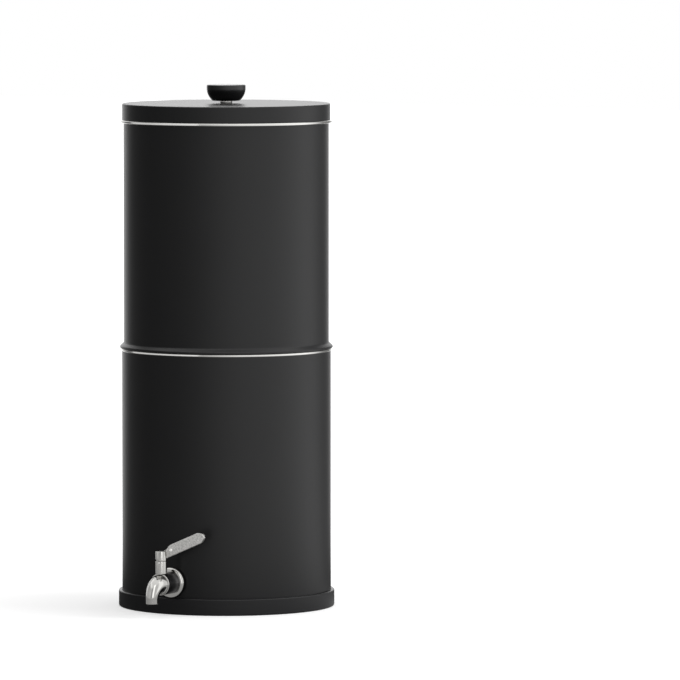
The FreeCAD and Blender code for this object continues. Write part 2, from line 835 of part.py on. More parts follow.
def make_cap_screw():
    seat = cap_screw_seat_z()
    head_top = seat + cap_screw_head_h
    screw = upright(cap_screw_d / 2, seat - cap_screw_len + fit_gap, seat, 0, stem_y)
    screw = screw.fuse(upright(cap_screw_head_d / 2, seat, head_top, 0, stem_y))
    slot = Part.makeBox(cap_screw_head_d, cap_screw_slot_w, cap_screw_slot_w)
    slot_y = stem_y - cap_screw_slot_w / 2
    slot.translate(FreeCAD.Vector(-cap_screw_head_d / 2, slot_y, head_top - cap_screw_slot_w))
    return screw.cut(slot).removeSplitter()


def make_all():
    pieces = {
        "base_ring": make_base_ring(),
        "lower_chamber": make_lower_chamber(),
        "lower_rim": hoop(lower_r, lower_edge_z, lower_hoop_reach),
        "upper_chamber": make_upper_chamber(),
        "upper_rim": hoop(upper_r, upper_edge_z, upper_hoop_reach),
        "lid_shell": make_lid(),
        "lid_knob": make_knob(),
        "knob_spacer": make_knob_spacer(),
        "knob_screw": make_knob_screw(),
        "tap_shank": make_tap_shank(),
        "tap_body": make_tap_body(),
        "outer_washer": make_outer_washer(),
        "inner_washer": make_inner_washer(),
        "lock_nut": make_lock_nut(),
        "rear_seat": make_seat(-1),
        "front_seat": make_seat(1),
        "bonnet": make_bonnet(),
        "stem_packing": make_stem_packing(),
        "gland_nut": make_gland_nut(),
        "gland_pin": make_gland_pin(),
        "valve_ball": make_valve_ball(),
        "valve_stem": make_valve_stem(),
        "valve_cap": make_valve_cap(),
        "cap_screw": make_cap_screw(),
        "lever": make_lever(),
        "lever_rivet": make_lever_rivet(),
    }
    for side, x in zip(("left", "right"), element_places()):
        pieces["carbon_block_" + side] = make_carbon_block(x)
        pieces["closed_cap_" + side] = make_closed_cap(x)
        pieces["outlet_cap_" + side] = make_outlet_cap(x)
        pieces["stem_seal_" + side] = make_stem_seal(x)
        pieces["wing_nut_" + side] = make_wing_nut(x)
    return pieces


pieces = make_all()
os.makedirs("parts", exist_ok=True)
whole = Part.makeCompound(list(pieces.values())).optimalBoundingBox(False, False)
shift = FreeCAD.Vector(-(whole.XMin + whole.XMax) / 2, -(whole.YMin + whole.YMax) / 2, -whole.ZMin)
for name, shape in pieces.items():
    shape.translate(shift)
    shape.exportStep("parts/" + name + ".step")
    print(name, "solids", len(shape.Solids), "valid", shape.isValid(), "volume", round(shape.Volume, 2))
print("tank axis y", shift.y, "valve stem y", stem_y + shift.y)
print("size", whole.XLength, whole.YLength, whole.ZLength)
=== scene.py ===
"""Gravity water filter: two coated steel chambers, a lid, a steel ball tap and two carbon elements.

Every piece takes its place from the box of the solid that it stands for. Metres, +Z up, tap towards -Y.
"""
import json
import math

import bmesh
import bpy
from bpy.props import FloatProperty, FloatVectorProperty, IntProperty, PointerProperty
from mathutils import Matrix, Vector

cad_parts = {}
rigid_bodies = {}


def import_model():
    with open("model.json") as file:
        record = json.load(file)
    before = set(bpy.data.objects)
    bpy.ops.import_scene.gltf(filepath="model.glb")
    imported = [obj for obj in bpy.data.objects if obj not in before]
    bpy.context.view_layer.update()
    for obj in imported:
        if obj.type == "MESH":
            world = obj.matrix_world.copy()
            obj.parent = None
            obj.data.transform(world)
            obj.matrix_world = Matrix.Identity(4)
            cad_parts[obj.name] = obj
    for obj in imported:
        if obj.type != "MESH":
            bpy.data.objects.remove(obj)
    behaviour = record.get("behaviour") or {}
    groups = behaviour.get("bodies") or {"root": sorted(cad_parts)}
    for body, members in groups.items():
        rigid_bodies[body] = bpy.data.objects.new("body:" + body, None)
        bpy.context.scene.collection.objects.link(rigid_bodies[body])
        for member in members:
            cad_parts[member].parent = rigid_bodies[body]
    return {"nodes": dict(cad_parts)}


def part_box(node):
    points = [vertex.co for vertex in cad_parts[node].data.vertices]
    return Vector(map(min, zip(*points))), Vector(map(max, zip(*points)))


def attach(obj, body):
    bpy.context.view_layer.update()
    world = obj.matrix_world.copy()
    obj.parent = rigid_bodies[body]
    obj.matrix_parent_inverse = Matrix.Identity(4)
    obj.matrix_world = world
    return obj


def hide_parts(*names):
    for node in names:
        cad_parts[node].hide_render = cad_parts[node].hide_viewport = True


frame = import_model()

bl_info = {
    "name": "Gravity water filter",
    "version": (1, 0, 0),
    "blender": (4, 5, 0),
    "location": "View3D > Sidebar > Filter",
    "description": "Builds the tank, lid, tap, filter elements and stage of a gravity water filter",
    "category": "Add Mesh",
}

MM = 0.001
QUARTER = math.pi / 2
LEVEL = Matrix.Rotation(QUARTER, 4, "X")  # lays a shape that stands along +Z down along -Y
UPPER_HOOP_REACH = 4.1 * MM  # from the upper chamber's wall out to its hoop's face
LOWER_HOOP_REACH = 1.2 * MM
KNOB_HOLE = 2.55 * MM  # radius of the hole for the knob's screw
CAP_SCREW_COVER = 0.1 * MM  # the valve cap's top above its screw
FIT = 0.1 * MM  # gap between an end cap and the carbon
STEM_FIT = 0.05 * MM  # gap round the threaded stem
OVERLAP = 0.3 * MM  # how far a stop or a thread reaches into what carries it
TOUCH = 1e-7  # points nearer than this are one point

# Faces round a turned piece, by its size
ROUND_LARGE = 128
ROUND_MEDIUM = 96
ROUND_SPACER = 72
ROUND_RIVET = 48
ROUND_PIN = 32

# Small roundings that hardly show: radius and segments
KEEN = (0.2 * MM, 2)
FINE = (0.3 * MM, 2)
BROKEN = (0.4 * MM, 2)
SOFT = (0.4 * MM, 3)
EASED = (0.6 * MM, 3)

# Brightness of the room in gloss, by the angle in degrees to the camera's right of the tank
AROUND = (
    (-180, 1.7), (-166, 1.6), (-153, 0.8), (-138, 0.16), (-95, 0.14), (-53, 0.3), (-29, 0.46), (-7, 0.74),
    (15, 1.0), (45, 1.1), (95, 1.45), (112, 1.0), (128, 0.3), (150, 0.2), (168, 1.4), (180, 1.6),
)
AROUND_TOP = 2.0

METAL = {"Metallic": 1.0}

# The finishes. Patterns are noise: size in millimetres, detail and, where it isn't 0.5, roughness. By one pattern
# each, "tone" mixes two colours, "gloss" spreads the roughness, and "bump" has its depth in millimetres and its
# strength. A pattern "about" a node runs round that node's axis.
FINISHES = {
    # Steel sheet with a baked satin powder coat: soft wide highlights over an orange peel of about 0.7 mm,
    # which a swell of 5 mm deepens here and there
    "powder_coated_steel": dict(
        base="coat", shader={"Roughness": 0.33, "IOR": 1.43},
        patterns={"cloud": (60, 3.0), "peel": (0.7, 2.0), "swell": (5, 1.0)},
        tone=("cloud", "coat", "coat_dust"), gloss=("peel", 0.3, 0.37), bump=("peel", 0.02, 0.35),
    ),
    # Bare stainless sheet inside the pots, spun and pickled: dull, with faint rings
    "drawn_stainless": dict(
        base="steel_dull", shader={"Metallic": 0.75, "Roughness": 0.45}, about="lower_chamber",
        patterns={"rings": (0.8, 3.0)},
        tone=("rings", "steel_dull", "steel"), gloss=("rings", 0.38, 0.52), bump=("rings", 0.01, 0.4),
    ),
    # Bright stainless hoop, rolled and polished: a mirror-like line with faint draw marks round it
    "rolled_stainless": dict(
        base="steel", shader={**METAL, "Roughness": 0.12}, about="lower_chamber",
        patterns={"marks": (0.5, 2.0)}, gloss=("marks", 0.09, 0.17), bump=("marks", 0.004, 0.5),
    ),
    # Cast stainless, ground and buffed by hand: near-mirror with slight waves
    "cast_stainless": dict(
        base="tap_steel", shader={**METAL, "Roughness": 0.1},
        patterns={"waves": (7, 2.0), "marks": (0.6, 3.0)},
        tone=("waves", "tap_steel", "tap_steel_dull"), gloss=("marks", 0.07, 0.14), bump=("waves", 0.05, 0.25),
    ),
    # Stainless strip, bead blasted: an even grey from every side, with a fine speckle. Real bead marks are
    # 0.1 mm across, drawn at 1.8 mm so that they show from a step away
    "blasted_stainless": dict(
        base="blasted", shader={**METAL, "Roughness": 0.5}, patterns={"speckle": (1.8, 2.0, 0.7)},
        tone=("speckle", "blasted_dull", "blasted"), contrast=(0.3, 0.7),
        gloss=("speckle", 0.42, 0.6), bump=("speckle", 0.03, 0.6),
    ),
    # Polished steel painted near black, standing for the dark tank reflected in the barrel and the shade in the
    # cap's window: painted reflection and shade, with one soft highlight along the barrel
    "blackened_stainless": dict(
        base="blackened", shader={**METAL, "Roughness": 0.3}, patterns={"skin": (2, 3.0)},
        gloss=("skin", 0.26, 0.34), bump=("skin", 0.01, 0.3),
    ),
    # Black moulded polypropylene: an even satin with a faint spark-eroded grain
    "moulded_polypropylene": dict(
        base="moulded", shader={"Roughness": 0.36, "IOR": 1.46}, patterns={"grain": (0.5, 2.0)},
        gloss=("grain", 0.3, 0.42), bump=("grain", 0.015, 0.4),
    ),
    # Pressed black phenolic, polished in the mould: deep gloss with small clear reflections
    "gloss_phenolic": dict(
        base="gloss", shader={"Roughness": 0.24, "IOR": 1.55},
        patterns={"waves": (4, 1.0), "marks": (1.2, 3.0)}, gloss=("marks", 0.2, 0.28), bump=("waves", 0.01, 0.3),
    ),
    # Black moulded ABS of the end caps and nuts: a harder, slightly glossier plastic
    "moulded_abs": dict(
        base="moulded", shader={"Roughness": 0.28, "IOR": 1.54}, patterns={"grain": (0.8, 2.0)},
        gloss=("grain", 0.22, 0.34), bump=("grain", 0.01, 0.35),
    ),
    # Sintered carbon block: coarse granules of about 1.1 mm with dark pores between them, quite matt
    "sintered_carbon": dict(
        base="carbon", shader={"Roughness": 0.85, "IOR": 1.45}, patterns={}, granule=1.1,
        tone=("granule", "carbon_pore", "carbon"), contrast=(0.35, 1.0), bump=("pore", -0.5, 0.8),
    ),
    # White silicone rubber: soft, slightly see-through, with a dull skin
    "cast_silicone": dict(
        base="silicone",
        shader={"Roughness": 0.5, "IOR": 1.41, "Subsurface Weight": 0.35, "Subsurface Scale": 2 * MM},
        patterns={"cloud": (6, 2.0), "skin": (1.5, 2.0)}, gloss=("cloud", 0.42, 0.58), bump=("skin", 0.03, 0.3),
    ),
    # Black EPDM rubber: matt, with a fine bloom
    "moulded_rubber": dict(
        base="rubber", shader={"Roughness": 0.8, "IOR": 1.5}, patterns={"bloom": (2, 3.0), "grain": (0.6, 2.0)},
        gloss=("bloom", 0.7, 0.9), bump=("grain", 0.03, 0.4),
    ),
    # White PTFE rings, turned: waxy and slightly cloudy
    "turned_ptfe": dict(
        base="silicone", shader={"Roughness": 0.42, "IOR": 1.38}, patterns={"cloud": (1.5, 2.0)},
        gloss=("cloud", 0.36, 0.5), bump=("cloud", 0.01, 0.4),
    ),
}

# Stainless bar turned on a lathe and buffed: sharp reflections, fine rings about its own axis
for kind, node, lay, light, dark in (
    ("level", "tap_shank", QUARTER, "tap_steel", "tap_steel_dull"),
    ("upright", "bonnet", 0, "tap_steel", "tap_steel_dull"),
    ("knob", "knob_spacer", 0, "tap_steel", "tap_steel_dull"),
    ("heads", "bonnet", 0, "blasted", "steel"),
):
    FINISHES["turned_stainless_" + kind] = dict(
        base=light, shader={**METAL, "Roughness": 0.12}, about=node, turned=(lay, 0.0006),
        patterns={"rings": (0.22, 2.0)},
        tone=("rings", light, dark), gloss=("rings", 0.07, 0.16), bump=("rings", 0.006, 0.5),
    )


def linear(code):
    """Linear red, green, blue and alpha of an sRGB hex colour."""
    channels = [int(code[index:index + 2], 16) / 255 for index in (1, 3, 5)]
    return [c / 12.92 if c <= 0.04045 else ((c + 0.055) / 1.055) ** 2.4 for c in channels] + [1.0]


def length(label, text, millimetres):
    return FloatProperty(
        name=label, description=text, default=millimetres * MM, min=0.0, unit="LENGTH", subtype="DISTANCE"
    )


def colour(label, text, code):
    return FloatVectorProperty(
        name=label, description=text, default=linear(code), size=4, min=0.0, max=1.0, subtype="COLOR"
    )


def angle(label, text, degrees):
    return FloatProperty(name=label, description=text, default=math.radians(degrees), subtype="ANGLE")


class TankSizes(bpy.types.PropertyGroup):
    sheet: length("Sheet", "Thickness of the chambers' steel", 1.0)
    floor_round: length("Floor rounding", "Outer radius between a chamber's floor and wall", 6.0)
    hoop_round: length("Hoop rounding", "Radius of a steel hoop's outer edges", 1.1)
    hoop_inner_round: length("Hoop crown", "Radius of a steel hoop's inner top edge", 0.5)
    hoop_cover: length("Hoop cover", "Height of a hoop above the edge that it covers", 0.9)
    bead_height: length("Bead height", "Height of the bead that rests on the lower chamber", 5.6)
    bead_face: length("Bead face", "Height of the bead's upright face", 2.1)
    bead_round: length("Bead rounding", "Radius of the bead's edges", 0.8)
    base_shelf: length("Base shelf", "Thickness of the shelf under the lower chamber", 5.0)
    base_grip: length("Base grip", "Gap between the lower chamber and the base ring", 0.1)
    base_foot_round: length("Base foot rounding", "Radius of the base ring's lower edge", 1.6)
    base_top_round: length("Base top rounding", "Radius of the base ring's upper edge", 1.0)
    lid_round: length("Lid rounding", "Radius between the lid's top and skirt", 1.4)
    knob_base: length("Knob base", "Diameter of the knob's flat underside", 27.0)
    knob_belly: length("Knob belly", "Radius of the knob's belly", 15.6)
    knob_edge: length("Knob edge", "Radius of the knob's top edge", 1.4)
    spacer_edge: length("Spacer edge", "Radius of the spacer's edges", 0.35)
    steps: IntProperty(name="Steps", description="Faces round the tank", default=192, min=48, max=384)


class TapSizes(bpy.types.PropertyGroup):
    flange_bevel: length("Flange bevel", "Bevel of the flange's front edge", 3.2)
    flange_thickness: length("Flange thickness", "Thickness of the flange", 4.5)
    shank: length("Shank", "Diameter of the threaded shank", 16.0)
    waterway: length("Waterway", "Diameter of the way for the water", 8.4)
    barrel: length("Barrel", "Diameter of the barrel", 22.0)
    barrel_length: length("Barrel length", "Length of the barrel in front of the flange", 18.5)
    barrel_edge: length("Barrel edge", "Radius of the barrel's front edge", 0.7)
    ball_room: length("Ball room", "Diameter of the room for the ball", 13.2)
    spout_root: length("Spout root", "Diameter of the spout at the barrel", 20.0)
    spout_lip: length("Spout lip", "Diameter of the spout's open end", 12.3)
    spout_nozzle: length("Spout nozzle", "Straight length at the spout's open end", 4.1)
    neck: length("Neck", "Diameter of the bonnet and of the valve cap", 11.7)
    neck_edge: length("Neck edge", "Radius of the bonnet's and the cap's edges", 0.35)
    gland: length("Gland", "Diameter of the gland nut in the bonnet", 8.0)
    stop_height: length("Stop height", "Height of the fixed and the moving stop", 1.4)
    stop_wall: length("Stop wall", "Thickness of the two stops", 1.75)
    lever_thickness: length("Lever thickness", "Thickness of the lever's plate", 3.0)
    lever_width: length("Lever width", "Width of the lever's plate", 10.9)
    lever_length: length("Lever length", "Length of the lever from the stem", 53.3)
    lever_drop: length("Lever drop", "Depth of the lever's centre line below the cap's top, at the stem", 3.7)
    lever_rise: angle("Lever rise", "Slope of the lever", 23.0)
    lever_tip_cut: length("Lever tip cut", "Length of the cut corners at the lever's tip", 5.2)
    lever_tip_flat: length("Lever tip flat", "Width of the lever's flat tip", 4.2)
    lever_shoulder: length("Lever shoulder", "Radius of the lever's shoulder", 4.9)
    lever_edge: length("Lever edge", "Radius of the lever's edges", 0.35)
    tongue: length("Tongue", "Thickness of the cap's tongue behind the lever", 2.0)
    rivet_place: length("Rivet place", "Distance of the rivet from the stem", 11.2)


class ElementSizes(bpy.types.PropertyGroup):
    cap_plate: length("Cap plate", "Thickness of an end cap's plate", 2.6)
    cap_edge: length("Cap edge", "Radius of an end cap's outer edge", 0.9)
    block_bore: length("Block bore", "Diameter of the bore in a carbon block", 22.0)
    stem: length("Stem", "Diameter of the threaded stem", 8.3)
    stem_bore: length("Stem bore", "Diameter of the way through the stem", 4.2)
    thread_pitch: length("Thread pitch", "Pitch of the stem's thread", 1.5)
    thread_depth: length("Thread depth", "Depth of the stem's thread", 0.6)
    seal_edge: length("Seal edge", "Radius of the seal's lower edge", 1.2)
    nut_height: length("Nut height", "Height of a wing nut's hub", 10.2)
    nut_edge: length("Nut edge", "Radius of a wing nut's edges", 0.6)
    wing_width: length("Wing width", "Width of a wing", 6.8)
    wing_thickness: length("Wing thickness", "Thickness of a wing", 4.4)
    wing_reach: length("Wing reach", "Length of a wing", 17.6)
    wing_slope: angle("Wing slope", "Slope of a wing from level", 61.0)


class FinishColours(bpy.types.PropertyGroup):
    coat: colour("Coat", "Powder coat of the tank", "#101011")
    coat_dust: colour("Coat light", "Lighter patches of the powder coat", "#151516")
    moulded: colour("Moulded", "Black moulded plastic", "#121214")
    gloss: colour("Gloss", "Glossy black plastic of the knob", "#0d0d0e")
    steel: colour("Steel", "Polished stainless steel", "#d9d8d5")
    steel_dull: colour("Dull steel", "Duller streaks in the steel", "#b9b8b5")
    tap_steel: colour("Tap steel", "Polished steel of the tap", "#b4b3b0")
    tap_steel_dull: colour("Dull tap steel", "Duller rings and waves in the tap's steel", "#a09f9c")
    blasted: colour("Blasted steel", "Light specks of the lever's steel", "#eeedea")
    blasted_dull: colour("Dull blasted steel", "Dark specks of the lever's steel", "#b8b7b4")
    # Painted shade: this near black steel stands for the tank's dark reflection on the barrel and the shade on the
    # gland nut inside the cap's window
    blackened: colour("Blackened steel", "Black oxide skin of the barrel and the gland nut", "#5c5c5d")
    carbon: colour("Carbon", "Grains of the carbon block", "#3a3a3b")
    carbon_pore: colour("Carbon pores", "Pores of the carbon block", "#0f0f10")
    silicone: colour("Silicone", "White silicone of the seals", "#ecebe6")
    rubber: colour("Rubber", "Black rubber of the washers", "#1b1b1b")


class StageSettings(bpy.types.PropertyGroup):
    camera_distance: length("Camera distance", "Level distance from the tank's axis", 7362.2)
    camera_height: length("Camera height", "Height above the floor", 782.05)
    camera_side: angle("Camera side", "Direction of the camera from the tap, towards +X", 31.0)
    camera_turn: angle("Camera turn", "Turn of the camera away from the tank", 0.897)
    camera_pitch: angle("Camera pitch", "Tilt of the camera below level", 3.98)
    lens: FloatProperty(name="Lens", description="Focal length", default=385.0, subtype="DISTANCE_CAMERA")
    floor_size: length("Floor size", "Width of the floor", 24000.0)
    ambient: FloatProperty(name="Ambient", description="Strength of the room's light", default=0.66, min=0.0)
    key_power: FloatProperty(name="Key", description="Power of the key lamp", default=12.0, unit="POWER")
    ceiling: FloatProperty(name="Ceiling", description="Brightness of the ceiling in gloss", default=1.5)
    floor_glow: FloatProperty(name="Floor glow", description="White added to the floor by the tank", default=0.42)
    fill_power: FloatProperty(name="Fill", description="Power of the top lamp", default=7.0, unit="POWER")


GROUPS = {
    "filter_tank": TankSizes,
    "filter_tap": TapSizes,
    "filter_elements": ElementSizes,
    "filter_colours": FinishColours,
    "filter_stage": StageSettings,
}


def settings(name):
    return getattr(bpy.context.scene, "filter_" + name)


def middle(node):
    low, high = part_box(node)
    return (low + high) / 2


def extent(node):
    """Lowest and highest level of a node, and half its width."""
    low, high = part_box(node)
    return low.z, high.z, (high.x - low.x) / 2


def upright_axis(node):
    return Vector((middle(node).x, middle(node).y, 0))


def tank_axis(height=0.0):
    return Vector((0, middle("lower_chamber").y, height))


def flat_outline(shape, corners):
    """Face in the XZ plane. Returns it and its first and last corner.

    A corner is its distance across and its height, and where it is rounded, its radius and segments.
    """
    spots = [shape.verts.new((corner[0], 0, corner[1])) for corner in corners]
    shape.faces.new(spots)
    for spot, corner in zip(spots, corners):
        if len(corner) > 2:
            bmesh.ops.bevel(
                shape, geom=[spot], offset=corner[2], offset_type="OFFSET", segments=corner[3], profile=0.5,
                affect="VERTICES", material=-1,
            )
    return shape.faces[:][-1], spots[0], spots[-1]


def lathe(corners, steps, open_run=False):
    """Surface turned about the Z axis from its corners, closed at the axis and at its seam."""
    shape = bmesh.new()
    _, first, last = flat_outline(shape, corners)
    bmesh.ops.delete(shape, geom=shape.faces[:], context="FACES_ONLY")
    dropped = [
        edge for edge in shape.edges
        if all(spot.co.x < TOUCH for spot in edge.verts) or open_run and first in edge.verts and last in edge.verts
    ]
    bmesh.ops.delete(shape, geom=dropped, context="EDGES")
    bmesh.ops.spin(
        shape, geom=shape.verts[:] + shape.edges[:], cent=(0, 0, 0), axis=(0, 0, 1), angle=math.tau,
        steps=steps, use_merge=True, use_duplicate=False,
    )
    bmesh.ops.remove_doubles(shape, verts=shape.verts, dist=TOUCH)
    bmesh.ops.recalc_face_normals(shape, faces=shape.faces)
    return shape


def sector(corners, start, span, steps):
    """Part of a turned ring, from the -Y direction towards +X, by angles in degrees."""
    shape = bmesh.new()
    face, _, _ = flat_outline(shape, corners)
    bmesh.ops.spin(
        shape, geom=[face], cent=(0, 0, 0), axis=(0, 0, 1), angle=math.radians(span), steps=steps,
        use_merge=False, use_duplicate=False,
    )
    turn = Matrix.Rotation(math.radians(start) - QUARTER, 3, "Z")
    bmesh.ops.rotate(shape, verts=shape.verts, cent=(0, 0, 0), matrix=turn)
    bmesh.ops.recalc_face_normals(shape, faces=shape.faces)
    return shape


def plate(corners, thickness, edge):
    """Flat plate in the XZ plane, thick towards +Y, with its edges rounded."""
    shape = bmesh.new()
    face, _, _ = flat_outline(shape, corners)
    made = bmesh.ops.extrude_face_region(shape, geom=[face])
    far = [item for item in made["geom"] if isinstance(item, bmesh.types.BMVert)]
    bmesh.ops.translate(shape, verts=far, vec=(0, thickness, 0))
    bmesh.ops.recalc_face_normals(shape, faces=shape.faces)
    sharp = [item for item in shape.edges if item.calc_face_angle() > math.radians(50)]
    bmesh.ops.bevel(
        shape, geom=sharp, offset=edge, offset_type="OFFSET", segments=3, profile=0.5, affect="EDGES",
        material=-1, clamp_overlap=True,
    )
    return shape


def moved(shape, place, turn=None):
    """The shape turned about the origin, then moved to its place."""
    if turn is not None:
        bmesh.ops.transform(shape, matrix=turn, verts=shape.verts)
    bmesh.ops.translate(shape, verts=shape.verts, vec=place)
    return shape


def as_mesh(name, shape):
    mesh = bpy.data.meshes.new(name)
    shape.to_mesh(mesh)
    shape.free()
    return mesh


def joined(first, *others):
    """One shape of several that belong to the same piece."""
    for other in others:
        scratch = as_mesh("scratch", other)
        first.from_mesh(scratch)
        bpy.data.meshes.remove(scratch)
    return first


def new_object(name, data):
    made = bpy.data.objects.new(name, data)
    bpy.context.scene.collection.objects.link(made)
    return made


def piece(name, shape, body, node, slot, *finishes, sharp=32.0):
    """Finished object: smooth faces, sharp edges by their angle, its body and finishes; the node that it stands
    for is hidden. The slot is not used.
    """
    limit = math.radians(sharp)
    for face in shape.faces:
        face.smooth = True
    for edge in shape.edges:
        edge.smooth = len(edge.link_faces) != 2 or edge.calc_face_angle() < limit
    made = new_object(name, as_mesh(name, shape))
    for kind in finishes:
        made.data.materials.append(finish(kind))
    even = made.modifiers.new("even shading", "WEIGHTED_NORMAL")
    even.keep_sharp = True
    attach(made, body)
    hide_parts(node)
    return made


def turned_piece(name, corners, steps, place, *dress, turn=None):
    """Piece from one run of the lathe, at its place, with its body and finish; its node is hidden and its slot is
    not used.
    """
    return piece(name, moved(lathe(corners, steps), place, turn), *dress)


def add_node(tree, kind, values=None, links=None, **options):
    """Adds a shader node, sets its options and socket values, and links outputs into its inputs."""
    made = tree.nodes.new("ShaderNode" + kind)
    for option, value in options.items():
        setattr(made, option, value)
    for socket, value in (values or {}).items():
        made.inputs[socket].default_value = value
    for socket, source in (links or {}).items():
        tree.links.new(source, made.inputs[socket])
    return made


def turned_spot(tree, spot, place, lay=0.0, stretch=0.004):
    """Coordinates that run round an axis, so that a fine pattern on them lies in rings about it."""
    local = add_node(
        tree, "Mapping", {"Location": place, "Rotation": (lay, 0, 0)}, {"Vector": spot}, vector_type="TEXTURE"
    ).outputs["Vector"]
    parts = add_node(tree, "SeparateXYZ", links={"Vector": local}).outputs
    heading = add_node(tree, "Math", links={0: parts["Y"], 1: parts["X"]}, operation="ARCTAN2").outputs[0]
    along = add_node(tree, "Math", {1: stretch}, {0: heading}, operation="MULTIPLY").outputs[0]
    level = add_node(tree, "CombineXYZ", links={"X": parts["X"], "Y": parts["Y"]}).outputs[0]
    radius = add_node(tree, "VectorMath", links={0: level}, operation="LENGTH").outputs["Value"]
    return add_node(tree, "CombineXYZ", links={"X": radius, "Y": along, "Z": parts["Z"]}).outputs[0]


def finish(name):
    """The named finish, made at its first use from its row of the table."""
    made = bpy.data.materials.get(name)
    if made:
        return made
    row = FINISHES[name]
    hues = settings("colours")
    made = bpy.data.materials.new(name)
    made.use_nodes = True
    made.diffuse_color = getattr(hues, row["base"])
    tree = made.node_tree
    shader = tree.nodes["Principled BSDF"].inputs
    shader["Base Color"].default_value = getattr(hues, row["base"])
    for socket, value in row["shader"].items():
        shader[socket].default_value = value
    spot = add_node(tree, "TexCoord").outputs["Object"]
    if "about" in row:
        spot = turned_spot(tree, spot, middle(row["about"]), *row.get("turned", ()))

    patterns = {}
    for key, (size, detail, *rest) in row["patterns"].items():
        values = {"Scale": 1 / (size * MM), "Detail": detail, "Roughness": rest[0] if rest else 0.5}
        patterns[key] = add_node(tree, "TexNoise", values, {"Vector": spot}).outputs["Fac"]
    if "granule" in row:
        values = {"Scale": 1 / (row["granule"] * MM), "Randomness": 1.0}
        cells = add_node(tree, "TexVoronoi", values, {"Vector": spot}).outputs
        patterns["granule"] = add_node(tree, "SeparateColor", links={"Color": cells["Color"]}).outputs[0]
        patterns["pore"] = cells["Distance"]

    if "tone" in row:
        key, first, second = row["tone"]
        share = patterns[key]
        if "contrast" in row:
            low, high = row["contrast"]
            share = add_node(tree, "MapRange", {"From Min": low, "From Max": high}, {"Value": share}).outputs[0]
        mix = add_node(
            tree, "Mix", {6: getattr(hues, first), 7: getattr(hues, second)}, {0: share}, data_type="RGBA",
            clamp_factor=True,
        )
        tree.links.new(mix.outputs[2], shader["Base Color"])
    if "gloss" in row:
        key, low, high = row["gloss"]
        spread = add_node(tree, "MapRange", {"To Min": low, "To Max": high}, {"Value": patterns[key]})
        tree.links.new(spread.outputs["Result"], shader["Roughness"])
    key, depth, strength = row["bump"]
    height = patterns[key]
    if "swell" in patterns:
        height = add_node(tree, "Math", links={0: patterns["swell"], 1: height}, operation="MULTIPLY").outputs[0]
    bump = add_node(tree, "Bump", {"Strength": strength, "Distance": depth * MM}, {"Height": height})
    tree.links.new(bump.outputs["Normal"], shader["Normal"])
    return made


class FILTER_OT_chambers(bpy.types.Operator):
    """Makes the two coated steel pots, bare inside, with the bead that stacks the upper one"""
    bl_idname = "filter.chambers"
    bl_label = "Chambers"

    def execute(self, context):
        tank = settings("tank")
        seat = extent("lower_rim")[1]
        for name, body in (("lower_chamber", "lower_unit"), ("upper_chamber", "upper_unit")):
            low, high, outer = extent(name)
            radius = outer
            bead = []
            fillet = (1.2 * MM, 4)  # hollow between the bead and the wall above it
            if name == "upper_chamber":
                radius = extent("upper_rim")[2] - UPPER_HOOP_REACH
                bead = [
                    (radius, seat, *FINE), (outer, seat, tank.bead_round, 5),
                    (outer, seat + tank.bead_face, tank.bead_round, 4), (radius, seat + tank.bead_height, *fillet),
                ]
            run = [(0, low), (radius, low, tank.floor_round, 8), *bead, (radius, high)]
            made = piece(
                name + "_skin", moved(lathe(run, tank.steps, open_run=True), tank_axis()), body, name,
                "black_coat", "powder_coated_steel", "drawn_stainless",
            )
            wall = made.modifiers.new("sheet", "SOLIDIFY")
            wall.thickness = tank.sheet
            wall.offset = -1
            wall.use_even_offset = True
            wall.material_offset = 1
            made.modifiers.move(1, 0)
        return {"FINISHED"}


class FILTER_OT_hoops(bpy.types.Operator):
    """Makes the two bright steel hoops over the chambers' cut edges"""
    bl_idname = "filter.hoops"
    bl_label = "Hoops"

    def execute(self, context):
        tank = settings("tank")
        for name, body, reach in (
            ("lower_rim", "lower_unit", LOWER_HOOP_REACH), ("upper_rim", "upper_unit", UPPER_HOOP_REACH)
        ):
            low, high, outer = extent(name)
            wall = outer - reach
            inside = wall - tank.sheet
            lip = inside - 0.5 * MM
            cut_edge = high - tank.hoop_cover
            turned_piece(
                name + "_hoop",
                [
                    (wall, low), (outer, low, tank.hoop_round, 6), (outer, high, tank.hoop_round, 6),
                    (lip, high, tank.hoop_inner_round, 3), (lip, low), (inside, low), (inside, cut_edge),
                    (wall, cut_edge),
                ],
                tank.steps, tank_axis(), body, name, "steel", "rolled_stainless",
            )
        return {"FINISHED"}


class FILTER_OT_base_ring(bpy.types.Operator):
    """Makes the moulded ring that the lower chamber stands in"""
    bl_idname = "filter.base_ring"
    bl_label = "Base ring"

    def execute(self, context):
        tank = settings("tank")
        low, high, outer = extent("base_ring")
        pot = extent("lower_chamber")[2]
        wall = pot + tank.base_grip
        bore = pot - 10 * MM  # the shelf's width
        shelf = low + tank.base_shelf
        turned_piece(
            "base_ring_moulding",
            [
                (bore, low, *EASED), (outer, low, tank.base_foot_round, 5),
                (outer, high, tank.base_top_round, 4), (wall, high, *FINE), (wall, shelf), (bore, shelf, *EASED),
            ],
            tank.steps, tank_axis(), "lower_unit", "base_ring", "black_moulded", "moulded_polypropylene",
        )
        return {"FINISHED"}


